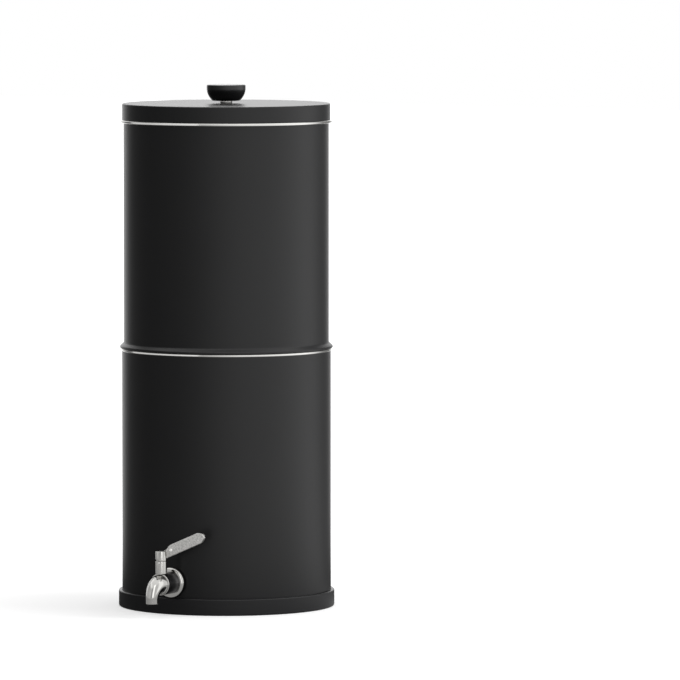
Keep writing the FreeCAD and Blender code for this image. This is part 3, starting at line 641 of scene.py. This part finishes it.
class FILTER_OT_lid(bpy.types.Operator):
    """Makes the lid's shell, its bowl-shaped knob and the bright spacer between them"""
    bl_idname = "filter.lid"
    bl_label = "Lid and knob"

    def execute(self, context):
        tank = settings("tank")
        low, high, outer = extent("lid_shell")
        _, seat, hoop = extent("upper_rim")
        lip = hoop - 6.0 * MM
        sheet = tank.sheet
        turned_piece(
            "lid_cover",
            [
                (KNOB_HOLE, high), (outer, high, tank.lid_round, 6), (outer, seat, *FINE), (lip, seat),
                (lip, low, *FINE), (lip - sheet, low, *FINE), (lip - sheet, seat + sheet),
                (outer - sheet, seat + sheet), (outer - sheet, high - sheet), (KNOB_HOLE, high - sheet),
            ],
            tank.steps, tank_axis(), "lid", "lid_shell", "black_coat", "powder_coated_steel",
        )

        low, high, rim = extent("lid_knob")
        base = tank.knob_base / 2
        belly = tank.knob_belly
        across = base - (rim - belly)
        belly_level = low + math.sqrt(belly ** 2 - across ** 2)
        tangent = (rim - base) / (belly_level - low) * belly
        # The belly's rounding stays a little short of the tangent point, so that its corner doesn't close up
        turned_piece(
            "knob_bowl",
            [
                (0, low), (base, low, *BROKEN), (rim, belly_level - tangent, tangent * 0.97, 20),
                (rim, high, tank.knob_edge, 6), (0, high),
            ],
            ROUND_MEDIUM, tank_axis(), "lid", "lid_knob", "black_gloss", "gloss_phenolic",
        )

        low, high, rim = extent("knob_spacer")
        edge = (tank.spacer_edge, 3)
        turned_piece(
            "knob_washer", [(KNOB_HOLE, low), (rim, low, *edge), (rim, high, *edge), (KNOB_HOLE, high)],
            ROUND_SPACER, tank_axis(), "lid", "knob_spacer", "steel", "turned_stainless_knob",
        )
        return {"FINISHED"}


class FILTER_OT_tap_body(bpy.types.Operator):
    """Makes the flange with its shank, and the barrel with its bent spout"""
    bl_idname = "filter.tap_body"
    bl_label = "Tap body"

    def execute(self, context):
        tap = settings("tap")
        axis = tank_axis(middle("tap_shank").z)
        low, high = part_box("tap_shank")
        # Distances from the tank's axis along the tap, and half diameters
        inside = axis.y - high.y
        spigot_end = axis.y - low.y
        rear = axis.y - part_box("tap_body")[1].y
        back = rear - tap.flange_thickness
        front = rear + tap.barrel_length
        flange = (high.x - low.x) / 2
        shank, way, barrel, room = (size / 2 for size in (tap.shank, tap.waterway, tap.barrel, tap.ball_room))
        turned_piece(
            "tap_flange",
            [
                (way, inside, *BROKEN), (shank, inside, 0.8 * MM, 2), (shank, back), (flange, back, *FINE),
                (flange, rear, tap.flange_bevel, 10), (shank, rear), (shank, spigot_end), (way, spigot_end),
            ],
            ROUND_LARGE, axis, "lower_unit", "tap_shank", "steel", "turned_stainless_level", turn=LEVEL,
        )

        shape = lathe(
            [
                (shank, rear), (barrel, rear, *BROKEN), (barrel, front, tap.barrel_edge, 4), (room, front),
                (room, spigot_end), (shank, spigot_end),
            ],
            ROUND_LARGE,
        )
        moved(shape, axis, LEVEL)
        # The barrel behind its front shoulder takes the second finish, near black to paint the dark tank's
        # reflection on it: painted reflection
        shoulder = axis.y - front + tap.barrel_edge
        for face in shape.faces:
            face.material_index = int(face.calc_center_median().y > shoulder)
        piece(
            "tap_casting", joined(shape, self.spout(tap, axis, front)), "lower_unit", "tap_body", "steel",
            "cast_stainless", "blackened_stainless", sharp=25.0,
        )
        return {"FINISHED"}

    def spout(self, tap, axis, front):
        """Spout as one closed wall: out along the bend, round the lip and back up the waterway."""
        root, lip, way = tap.spout_root / 2, tap.spout_lip / 2, tap.waterway / 2
        tuck = 0.6 * MM  # reach into the barrel
        edge = 0.5 * MM  # rounding of the lip
        inner_edge = 0.3 * MM
        bend_steps, edge_steps = 28, 4
        nozzle_top = extent("tap_body")[0] + tap.spout_nozzle
        centre = Vector((0, axis.y - front, nozzle_top))
        shape = bmesh.new()
        bmesh.ops.create_circle(shape, cap_ends=False, radius=root, segments=ROUND_MEDIUM)
        moved(shape, (0, centre.y + tuck, axis.z), LEVEL)
        first = shape.edges[:]

        def grow(ring, shift=None, turn=None, ratio=1.0):
            out = bmesh.ops.extrude_edge_only(shape, edges=ring)["geom"]
            spots = [item for item in out if isinstance(item, bmesh.types.BMVert)]
            if shift is not None:
                bmesh.ops.translate(shape, verts=spots, vec=shift)
            if turn is not None:
                bmesh.ops.rotate(shape, verts=spots, cent=centre, matrix=Matrix.Rotation(turn, 3, "X"))
            if ratio != 1.0:
                heart = sum((spot.co for spot in spots), Vector()) / len(spots)
                bmesh.ops.scale(
                    shape, vec=(ratio, ratio, ratio), space=Matrix.Translation(-heart), verts=spots
                )
            return [item for item in out if isinstance(item, bmesh.types.BMEdge)]

        def radius_at(share):
            """Radius along the bend: it narrows faster near the barrel than near the lip."""
            return lip + (root - lip) * (1 - share) ** 1.3

        ring = grow(first, (0, -tuck, 0))
        for index in range(bend_steps):
            ratio = radius_at((index + 1) / bend_steps) / radius_at(index / bend_steps)
            ring = grow(ring, turn=QUARTER / bend_steps, ratio=ratio)
        ring = grow(ring, (0, 0, edge - tap.spout_nozzle))
        for index in range(edge_steps):
            start, end = index * QUARTER / edge_steps, (index + 1) * QUARTER / edge_steps
            fall = edge * (math.sin(end) - math.sin(start))
            ratio = (lip - edge * (1 - math.cos(end))) / (lip - edge * (1 - math.cos(start)))
            ring = grow(ring, (0, 0, -fall), ratio=ratio)
        ring = grow(ring, ratio=(way + inner_edge) / (lip - edge))
        ring = grow(ring, (0, 0, inner_edge), ratio=way / (way + inner_edge))
        ring = grow(ring, (0, 0, tap.spout_nozzle - inner_edge))
        for _ in range(bend_steps // 2):
            ring = grow(ring, turn=-QUARTER / (bend_steps // 2))
        ring = grow(ring, (0, tuck, 0))
        bmesh.ops.bridge_loops(shape, edges=ring + first)
        bmesh.ops.recalc_face_normals(shape, faces=shape.faces)
        return shape


class FILTER_OT_neck(bpy.types.Operator):
    """Makes the bonnet with its fixed stop, the gland pin and the valve cap with its moving stop"""
    bl_idname = "filter.neck"
    bl_label = "Bonnet and cap"

    def execute(self, context):
        tap = settings("tap")
        place = upright_axis("bonnet")
        low, stop_top, _ = extent("bonnet")
        foot = low + 4 * MM  # let into the barrel
        top = extent("gland_nut")[1]
        radius = tap.neck / 2
        gland = tap.gland / 2
        gland_floor = top - 2 * MM
        inner = radius - tap.stop_wall
        edge = (tap.neck_edge, 3)
        shape = lathe(
            [
                (0, foot), (radius, foot), (radius, top, *edge), (gland, top), (gland, gland_floor),
                (0, gland_floor),
            ],
            ROUND_MEDIUM,
        )
        stop = sector(
            [
                (inner, top - OVERLAP), (radius, top - OVERLAP), (radius, stop_top, *KEEN),
                (inner, stop_top, *KEEN),
            ],
            81, 187, 48,
        )
        piece(
            "bonnet_neck", moved(joined(shape, stop), place), "lower_unit", "bonnet", "steel",
            "turned_stainless_upright",
        )

        low, high, _ = extent("gland_pin")
        pin = (high - low) / 2
        pin_root = radius - 2 * MM
        pin_face = radius + 0.35 * MM
        turned_piece(
            "gland_pin_head", [(0, pin_root), (pin, pin_root), (pin, pin_face, pin * 0.9, 5), (0, pin_face)],
            ROUND_PIN, place + Vector((0, 0, (high + low) / 2)), "lower_unit", "gland_pin", "steel",
            "turned_stainless_heads", turn=Matrix.Rotation(math.radians(8), 4, "Z") @ LEVEL,
        )

        low = extent("valve_cap")[0]
        foot = low + tap.stop_height
        top = extent("cap_screw")[1] + CAP_SCREW_COVER
        recess = 2.75 * MM
        recess_floor = top - 1.7 * MM
        shape = lathe(
            [
                (0, foot), (radius, foot, *edge), (radius, top, 0.6 * MM, 4), (recess, top, 0.25 * MM, 2),
                (recess, recess_floor), (0, recess_floor),
            ],
            ROUND_MEDIUM,
        )
        stop = sector(
            [
                (inner, low, *KEEN), (radius, low, *KEEN), (radius, foot + OVERLAP), (inner, foot + OVERLAP)
            ],
            -1.6, 82.2, 24,
        )
        half = start = 3.2 * MM  # the tongue's half width, and its start from the stem
        level = top - tap.lever_drop + start * math.tan(tap.lever_rise)
        end = (tap.rivet_place - start) / math.cos(tap.lever_rise) + half
        ends = (half * 0.98, 8)  # nearly half round
        tongue = plate(
            [(-half, -half, *ends), (end, -half, *ends), (end, half, *ends), (-half, half, *ends)],
            tap.tongue, 0.3 * MM,
        )
        moved(tongue, Vector((start, tap.lever_thickness, level)), Matrix.Rotation(-tap.lever_rise, 4, "Y"))
        piece(
            "valve_cap_head", moved(joined(shape, stop, tongue), place), "tap_lever", "valve_cap", "steel",
            "turned_stainless_upright",
        )
        return {"FINISHED"}


class FILTER_OT_lever(bpy.types.Operator):
    """Makes the flat lever on edge and the rivet that holds it"""
    bl_idname = "filter.lever"
    bl_label = "Lever"

    def execute(self, context):
        tap = settings("tap")
        cap_top = extent("cap_screw")[1] + CAP_SCREW_COVER
        line = cap_top - tap.lever_drop
        slope = tap.lever_rise
        half, flat = tap.lever_width / 2, tap.lever_tip_flat / 2
        cut = tap.lever_length - tap.lever_tip_cut
        # Distances of the blade's upright end, its level top and its shoulder from the stem
        root, top_end, shoulder = 4.6 * MM, 5.5 * MM, 6.6 * MM
        blade_top = cap_top - 0.4 * MM

        def spot(along, over):
            return (
                along * math.cos(slope) - over * math.sin(slope),
                line + along * math.sin(slope) + over * math.cos(slope),
            )

        blade = plate(
            [
                (root, line + root * math.tan(slope) - half / math.cos(slope)),
                (*spot(cut, -half), 0.8 * MM, 3),
                (*spot(tap.lever_length, -flat), *EASED),
                (*spot(tap.lever_length, flat), *EASED),
                (*spot(cut, half), 0.8 * MM, 3),
                (shoulder, line + shoulder * math.tan(slope) + half / math.cos(slope), tap.lever_shoulder, 10),
                (top_end, blade_top),
                (root, blade_top),
            ],
            tap.lever_thickness, tap.lever_edge,
        )
        piece(
            "lever_blade", moved(blade, upright_axis("bonnet")), "tap_lever", "lever", "steel",
            "blasted_stainless",
        )

        low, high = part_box("lever_rivet")
        radius = (high.x - low.x) / 2
        shaft = radius - 0.5 * MM
        head = 0.7 * MM
        dome = (head * 0.9, 5)
        end = high.y - low.y
        centre = middle("lever_rivet")
        turned_piece(
            "lever_rivet_heads",
            [
                (0, 0), (radius, 0, *dome), (radius, head), (shaft, head), (shaft, end - head),
                (radius, end - head), (radius, end, *dome), (0, end),
            ],
            ROUND_RIVET, Vector((centre.x, high.y, centre.z)), "tap_lever", "lever_rivet", "steel",
            "turned_stainless_heads", turn=LEVEL,
        )
        return {"FINISHED"}


class FILTER_OT_elements(bpy.types.Operator):
    """Makes the two filter elements: carbon blocks, end caps, threaded stems and white seals"""
    bl_idname = "filter.elements"
    bl_label = "Filter elements"

    def execute(self, context):
        sizes = settings("elements")
        for side in ("left", "right"):
            self.block_and_caps(sizes, side)
            self.stem_and_seal(sizes, side)
        return {"FINISHED"}

    def block_and_caps(self, sizes, side):
        node = "carbon_block_" + side
        place = upright_axis(node)
        low, high, radius = extent(node)
        bore = sizes.block_bore / 2
        turned_piece(
            "carbon_" + side, [(bore, low), (radius, low), (radius, high), (bore, high)], ROUND_MEDIUM, place,
            "upper_unit", node, "carbon", "sintered_carbon",
        )

        node = "closed_cap_" + side
        low, high, outer = extent(node)
        inner = radius + FIT
        plate_under = high - sizes.cap_plate
        # A shallow groove runs round the cap's face, near its edge
        groove = high - 0.6 * MM
        turned_piece(
            "cap_top_" + side,
            [
                (0, high), (outer - 4.5 * MM, high, 0.5 * MM, 3), (outer - 5.0 * MM, groove, *SOFT),
                (outer - 1.8 * MM, groove, *SOFT), (outer - 1.4 * MM, high, *FINE),
                (outer, high, sizes.cap_edge, 5), (outer, low, *SOFT), (inner, low), (inner, plate_under),
                (0, plate_under),
            ],
            ROUND_LARGE, place, "upper_unit", node, "black_moulded", "moulded_abs",
        )

    def stem_and_seal(self, sizes, side):
        node = "outlet_cap_" + side
        place = upright_axis(node)
        low, high, outer = extent(node)
        inner = extent("carbon_block_" + side)[2] + FIT
        seal_low, seat, seal_outer = extent("stem_seal_" + side)
        stem, bore = sizes.stem / 2, sizes.stem_bore / 2
        core = stem - sizes.thread_depth
        plate_top = seat + sizes.cap_plate
        cap = lathe(
            [
                (bore, low, *FINE), (core, low, 0.5 * MM, 2), (core, seat), (outer, seat, sizes.cap_edge, 5),
                (outer, high, *SOFT), (inner, high), (inner, plate_top), (bore, plate_top),
            ],
            ROUND_LARGE,
        )
        thread = self.thread(sizes.thread_pitch, core, stem, low + 0.6 * MM, seat - 0.5 * MM)
        piece(
            "cap_outlet_" + side, moved(joined(cap, thread), place), "upper_unit", node, "black_moulded",
            "moulded_abs",
        )

        hole = stem + STEM_FIT
        turned_piece(
            "seal_" + side,
            [
                (hole, seal_low), (seal_outer, seal_low, sizes.seal_edge, 5), (seal_outer, seat, *SOFT),
                (hole, seat),
            ],
            ROUND_MEDIUM, place, "upper_unit", "stem_seal_" + side, "white_silicone", "cast_silicone",
        )

    def thread(self, pitch, core, crest, low, high):
        """Closed ridge that winds up the stem."""
        steps_per_turn = 24
        steps = int((high - low - pitch) / pitch * steps_per_turn)
        root = core - OVERLAP
        # The ridge's foot fills 0.9 of the pitch, and its flat crest lies from 0.38 to 0.52 of it
        shape = bmesh.new()
        face, _, _ = flat_outline(
            shape,
            [(root, low), (root, low + pitch * 0.9), (crest, low + pitch * 0.52), (crest, low + pitch * 0.38)],
        )
        bmesh.ops.spin(
            shape, geom=[face], cent=(0, 0, 0), axis=(0, 0, 1), dvec=(0, 0, pitch / steps_per_turn),
            angle=steps * math.tau / steps_per_turn, steps=steps, use_merge=False, use_duplicate=False,
        )
        bmesh.ops.recalc_face_normals(shape, faces=shape.faces)
        return shape


class FILTER_OT_wing_nuts(bpy.types.Operator):
    """Makes the two wing nuts under the upper chamber's floor"""
    bl_idname = "filter.wing_nuts"
    bl_label = "Wing nuts"

    def execute(self, context):
        sizes = settings("elements")
        radius = 16.0 * MM
        bore = sizes.stem / 2 + STEM_FIT
        reach, width, thickness = sizes.wing_reach, sizes.wing_width, sizes.wing_thickness
        tip = (1.1 * MM, 4)
        for side in ("left", "right"):
            node = "wing_nut_" + side
            high = extent(node)[1]
            foot = high - sizes.nut_height
            hub = lathe(
                [
                    (bore, high), (radius, high, *FINE), (radius, foot, sizes.nut_edge, 4),
                    (bore, foot, 0.5 * MM, 2),
                ],
                ROUND_MEDIUM,
            )
            wings = []
            for turn in (0.0, math.pi):
                wing = plate(
                    [(-1.2 * MM, 0), (reach, 0, *tip), (reach, -width, *tip), (0, -width)],
                    thickness, sizes.nut_edge,
                )
                moved(wing, Vector((0, -thickness / 2, 0)))
                # The wing starts just inside the hub's wall, a little below its top
                lean = Matrix.Rotation(sizes.wing_slope, 4, "Y")
                moved(wing, Vector((radius - 0.1 * MM, 0, high - 2.2 * MM)), lean)
                wings.append(moved(wing, Vector(), Matrix.Rotation(turn, 4, "Z")))
            piece(
                "nut_" + side, moved(joined(hub, *wings), upright_axis(node)), "nut_" + side, node,
                "black_moulded", "moulded_abs",
            )
        return {"FINISHED"}


class FILTER_OT_inner_finishes(bpy.types.Operator):
    """Gives the solids that stay as they are their finishes"""
    bl_idname = "filter.inner_finishes"
    bl_label = "Inner finishes"

    def execute(self, context):
        for kind, nodes in (
            ("turned_stainless_knob", ("knob_screw",)),
            ("turned_stainless_level", ("lock_nut",)),
            ("turned_stainless_upright", ("cap_screw", "valve_stem")),
            # The gland nut is painted near black for the shade inside the cap's window: painted shade
            ("blackened_stainless", ("gland_nut",)),
            ("cast_stainless", ("valve_ball",)),
            ("moulded_rubber", ("outer_washer", "inner_washer")),
            ("turned_ptfe", ("rear_seat", "front_seat", "stem_packing")),
        ):
            for node in nodes:
                solid = frame["nodes"][node]
                for slot in solid.material_slots:
                    slot.material = finish(kind)
                if not solid.material_slots:
                    solid.data.materials.append(finish(kind))
        return {"FINISHED"}


def direction(stage, side, height=0.0):
    """Direction from the tank, by degrees to the camera's right and degrees above level."""
    heading = stage.camera_side + math.radians(side)
    up = math.radians(height)
    return Vector((math.sin(heading) * math.cos(up), -math.cos(heading) * math.cos(up), math.sin(up)))


def soft_lamp(name, aim, out, distance, width, tall, power):
    lamp = bpy.data.lights.new(name, "AREA")
    lamp.shape = "RECTANGLE"
    lamp.size = width
    lamp.size_y = tall
    lamp.energy = power
    made = new_object(name, lamp)
    made.location = aim + out * distance
    made.rotation_euler = (-out).to_track_quat("-Z", "Y").to_euler()
    made.visible_camera = False
    return made


class FILTER_OT_stage(bpy.types.Operator):
    """Makes the pale floor, the soft lamps, the room's light and the camera"""
    bl_idname = "filter.stage"
    bl_label = "Stage"

    def execute(self, context):
        stage = settings("stage")
        tank = middle("lower_chamber")
        self.floor(stage, tank)
        self.room(stage)
        self.lamps(stage, tank)
        self.camera(stage, tank)
        context.scene.view_settings.view_transform = "Standard"
        return {"FINISHED"}

    def floor(self, stage, tank):
        shape = bmesh.new()
        bmesh.ops.create_grid(shape, x_segments=8, y_segments=8, size=stage.floor_size / 2)
        made = new_object("floor", as_mesh("floor", shape))
        painted = bpy.data.materials.new("matt_painted_floor")
        made.data.materials.append(painted)
        painted.use_nodes = True
        tree = painted.node_tree
        tree.nodes.clear()
        spot = add_node(tree, "TexCoord").outputs["Object"]
        grain = add_node(tree, "TexNoise", {"Scale": 1 / (3 * MM), "Detail": 2.0}, {"Vector": spot}).outputs["Fac"]
        bump = add_node(tree, "Bump", {"Strength": 0.1, "Distance": 0.05 * MM}, {"Height": grain}).outputs[0]
        paint = add_node(tree, "BsdfDiffuse", {"Color": linear("#f4f4f4")}, {"Normal": bump})
        matt = add_node(tree, "BsdfDiffuse", {"Color": (0, 0, 0, 1)})

        # The glow whitens the floor far from the object, and leaves its shadow near it. Close to the object the
        # floor is in its shade, so gloss sees little of it there
        centred = add_node(
            tree, "VectorMath", {1: (tank.x, tank.y, 0)}, {0: spot}, operation="SUBTRACT"
        ).outputs[0]
        away = add_node(tree, "VectorMath", links={0: centred}, operation="LENGTH").outputs["Value"]
        share, shade = [
            add_node(
                tree, "MapRange", {"From Min": near, "From Max": 0.75, "To Min": low, "To Max": 1.0},
                {"Value": away}, interpolation_type="SMOOTHSTEP",
            ).outputs["Result"]
            for near, low in ((0.16, stage.floor_glow), (0.12, 0.3))
        ]
        way = add_node(tree, "VectorMath", links={0: centred}, operation="NORMALIZE").outputs[0]
        studio = self.studio_light(tree, stage, way)
        path = add_node(tree, "LightPath").outputs
        glossy = path["Is Glossy Ray"]
        glows = []
        for glow, *terms in (
            (path["Is Camera Ray"], ("MAXIMUM", path["Is Transmission Ray"]), ("MULTIPLY", share)),
            (studio, ("MULTIPLY", glossy), ("MULTIPLY", shade)),
        ):
            for operation, term in terms:
                glow = add_node(tree, "Math", links={0: glow, 1: term}, operation=operation).outputs[0]
            glows.append(glow)
        strength = add_node(tree, "Math", links=dict(enumerate(glows)), operation="ADD").outputs[0]
        glow = add_node(tree, "Emission", {"Color": (1, 1, 1, 1)}, {"Strength": strength}).outputs[0]
        surface = add_node(tree, "MixShader", links={0: glossy, 1: paint.outputs[0], 2: matt.outputs[0]})
        both = add_node(tree, "AddShader", links={0: surface.outputs[0], 1: glow}).outputs[0]
        add_node(tree, "OutputMaterial", links={"Surface": both})

    def studio_light(self, tree, stage, way):
        """Brightness of the room as gloss shows it: soft boxes all round, a white backdrop and a ceiling."""
        ahead, aside = [
            add_node(
                tree, "VectorMath", {1: direction(stage, side)}, {0: way}, operation="DOT_PRODUCT"
            ).outputs["Value"]
            for side in (0.0, 90.0)
        ]
        heading = add_node(tree, "Math", links={0: aside, 1: ahead}, operation="ARCTAN2").outputs[0]
        turn = add_node(tree, "MapRange", {"From Min": -math.pi, "From Max": math.pi}, {"Value": heading})
        ramp = add_node(tree, "ValToRGB", links={"Fac": turn.outputs["Result"]})
        steps = ramp.color_ramp.elements
        while len(steps) < len(AROUND):
            steps.new(0.5)
        for step, (side, level) in zip(steps, AROUND):
            step.position = (side + 180) / 360
            step.color = (level / AROUND_TOP, level / AROUND_TOP, level / AROUND_TOP, 1)
        level = add_node(tree, "Math", {1: AROUND_TOP}, {0: ramp.outputs["Color"]}, operation="MULTIPLY")
        height = add_node(tree, "SeparateXYZ", links={"Vector": way}).outputs["Z"]
        # The ceiling comes in where the way points well above level
        above = add_node(
            tree, "MapRange", {"From Min": 0.6, "From Max": 0.85}, {"Value": height},
            interpolation_type="SMOOTHSTEP",
        ).outputs["Result"]
        links = {0: above, 2: level.outputs[0]}
        return add_node(tree, "Mix", {3: stage.ceiling}, links, data_type="FLOAT").outputs[0]

    def room(self, stage):
        """White behind everything the camera sees, and the studio's own light for gloss and for the rest."""
        world = bpy.data.worlds.new("studio")
        bpy.context.scene.world = world
        world.use_nodes = True
        tree = world.node_tree
        tree.nodes.clear()
        way = add_node(tree, "TexCoord").outputs["Generated"]
        wall = self.studio_light(tree, stage, way)
        path = add_node(tree, "LightPath").outputs
        lit = add_node(tree, "Background", {"Strength": stage.ambient}).outputs[0]
        studio = add_node(tree, "Background", {"Strength": 1.0}, {"Color": wall}).outputs[0]
        white = add_node(tree, "Background", {"Color": (1, 1, 1, 1), "Strength": 1.0}).outputs[0]
        shown = add_node(
            tree, "Math", links={0: path["Is Glossy Ray"], 1: path["Is Transmission Ray"]}, operation="MAXIMUM"
        ).outputs[0]
        rest = add_node(tree, "MixShader", links={0: shown, 1: lit, 2: studio}).outputs[0]
        seen = add_node(tree, "MixShader", links={0: path["Is Camera Ray"], 1: rest, 2: white}).outputs[0]
        add_node(tree, "OutputWorld", links={"Surface": seen})

    def lamps(self, stage, tank):
        aim = Vector((tank.x, tank.y, 0.27))  # half way up the tank
        for name, side, height, distance, width, tall, power in (
            ("key", 78.0, 24.0, 1.7, 1.1, 1.3, stage.key_power),
            ("top", 150.0, 78.0, 1.6, 1.4, 1.4, stage.fill_power),
        ):
            made = soft_lamp(name, aim, direction(stage, side, height), distance, width, tall, power)
            made.visible_glossy = False

    def camera(self, stage, tank):
        data = bpy.data.cameras.new("camera")
        data.lens = stage.lens
        data.sensor_width = 36.0
        data.clip_end = 100.0
        made = new_object("camera", data)
        made.location = Vector((tank.x, tank.y, 0)) + direction(stage, 0.0) * stage.camera_distance
        made.location.z = stage.camera_height
        made.rotation_euler = (QUARTER - stage.camera_pitch, 0, stage.camera_side - stage.camera_turn)
        bpy.context.scene.camera = made


class FILTER_OT_steel_cards(bpy.types.Operator):
    """Makes the cards and strips whose reflections only the bright steel shows"""
    bl_idname = "filter.steel_cards"
    bl_label = "Cards for the steel"

    def execute(self, context):
        stage = settings("stage")
        steel = bpy.data.collections.new("steel")
        polished = bpy.data.collections.new("polished steel")
        for made in context.scene.objects:
            first = made.data.materials[0].name if made.modifiers.get("even shading") else ""
            if "stainless" in first:
                steel.objects.link(made)
            if first.startswith(("turned_stainless", "cast_stainless")):
                polished.objects.link(made)
        tap = middle("bonnet")
        aim = Vector((tap.x, tap.y, 0.5))
        for name, side, height, distance, width, tall, level, shown in (
            ("left card", -78.0, 0.0, 0.6, 1.4, 1.0, 0.66, steel),
            ("rear strip", -132.0, 0.0, 0.6, 0.3, 1.0, 0.8, polished),
            ("front strip", 10.0, 0.0, 0.6, 0.26, 1.0, 1.6, polished),
            ("right strip", 72.0, 0.0, 0.6, 0.27, 1.0, 0.7, polished),
            ("floor card", 0.0, -90.0, 0.499, 1.2, 1.2, 0.45, polished),
        ):
            power = level * math.pi * width * tall
            made = soft_lamp(name, aim, direction(stage, side, height), distance, width, tall, power)
            made.light_linking.receiver_collection = shown
        return {"FINISHED"}


OPERATORS = (
    FILTER_OT_stage,
    FILTER_OT_chambers,
    FILTER_OT_hoops,
    FILTER_OT_base_ring,
    FILTER_OT_lid,
    FILTER_OT_tap_body,
    FILTER_OT_neck,
    FILTER_OT_lever,
    FILTER_OT_elements,
    FILTER_OT_wing_nuts,
    FILTER_OT_inner_finishes,
    FILTER_OT_steel_cards,
)


class VIEW3D_PT_filter(bpy.types.Panel):
    """Lists the operators in the order in which they are run"""
    bl_idname = "VIEW3D_PT_filter"
    bl_label = "Gravity water filter"
    bl_space_type = "VIEW_3D"
    bl_region_type = "UI"
    bl_category = "Filter"

    def draw(self, context):
        for operator in OPERATORS:
            self.layout.operator(operator.bl_idname)


def register():
    for name, group in GROUPS.items():
        bpy.utils.register_class(group)
        setattr(bpy.types.Scene, name, PointerProperty(type=group))
    for made in OPERATORS + (VIEW3D_PT_filter,):
        bpy.utils.register_class(made)


def unregister():
    for made in reversed(OPERATORS + (VIEW3D_PT_filter,)):
        bpy.utils.unregister_class(made)
    for name, group in GROUPS.items():
        delattr(bpy.types.Scene, name)
        bpy.utils.unregister_class(group)


def main():
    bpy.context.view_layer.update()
    register()
    for operator in OPERATORS:
        group, name = operator.bl_idname.split(".")
        getattr(getattr(bpy.ops, group), name)()


if __name__ == "__main__":
    main()
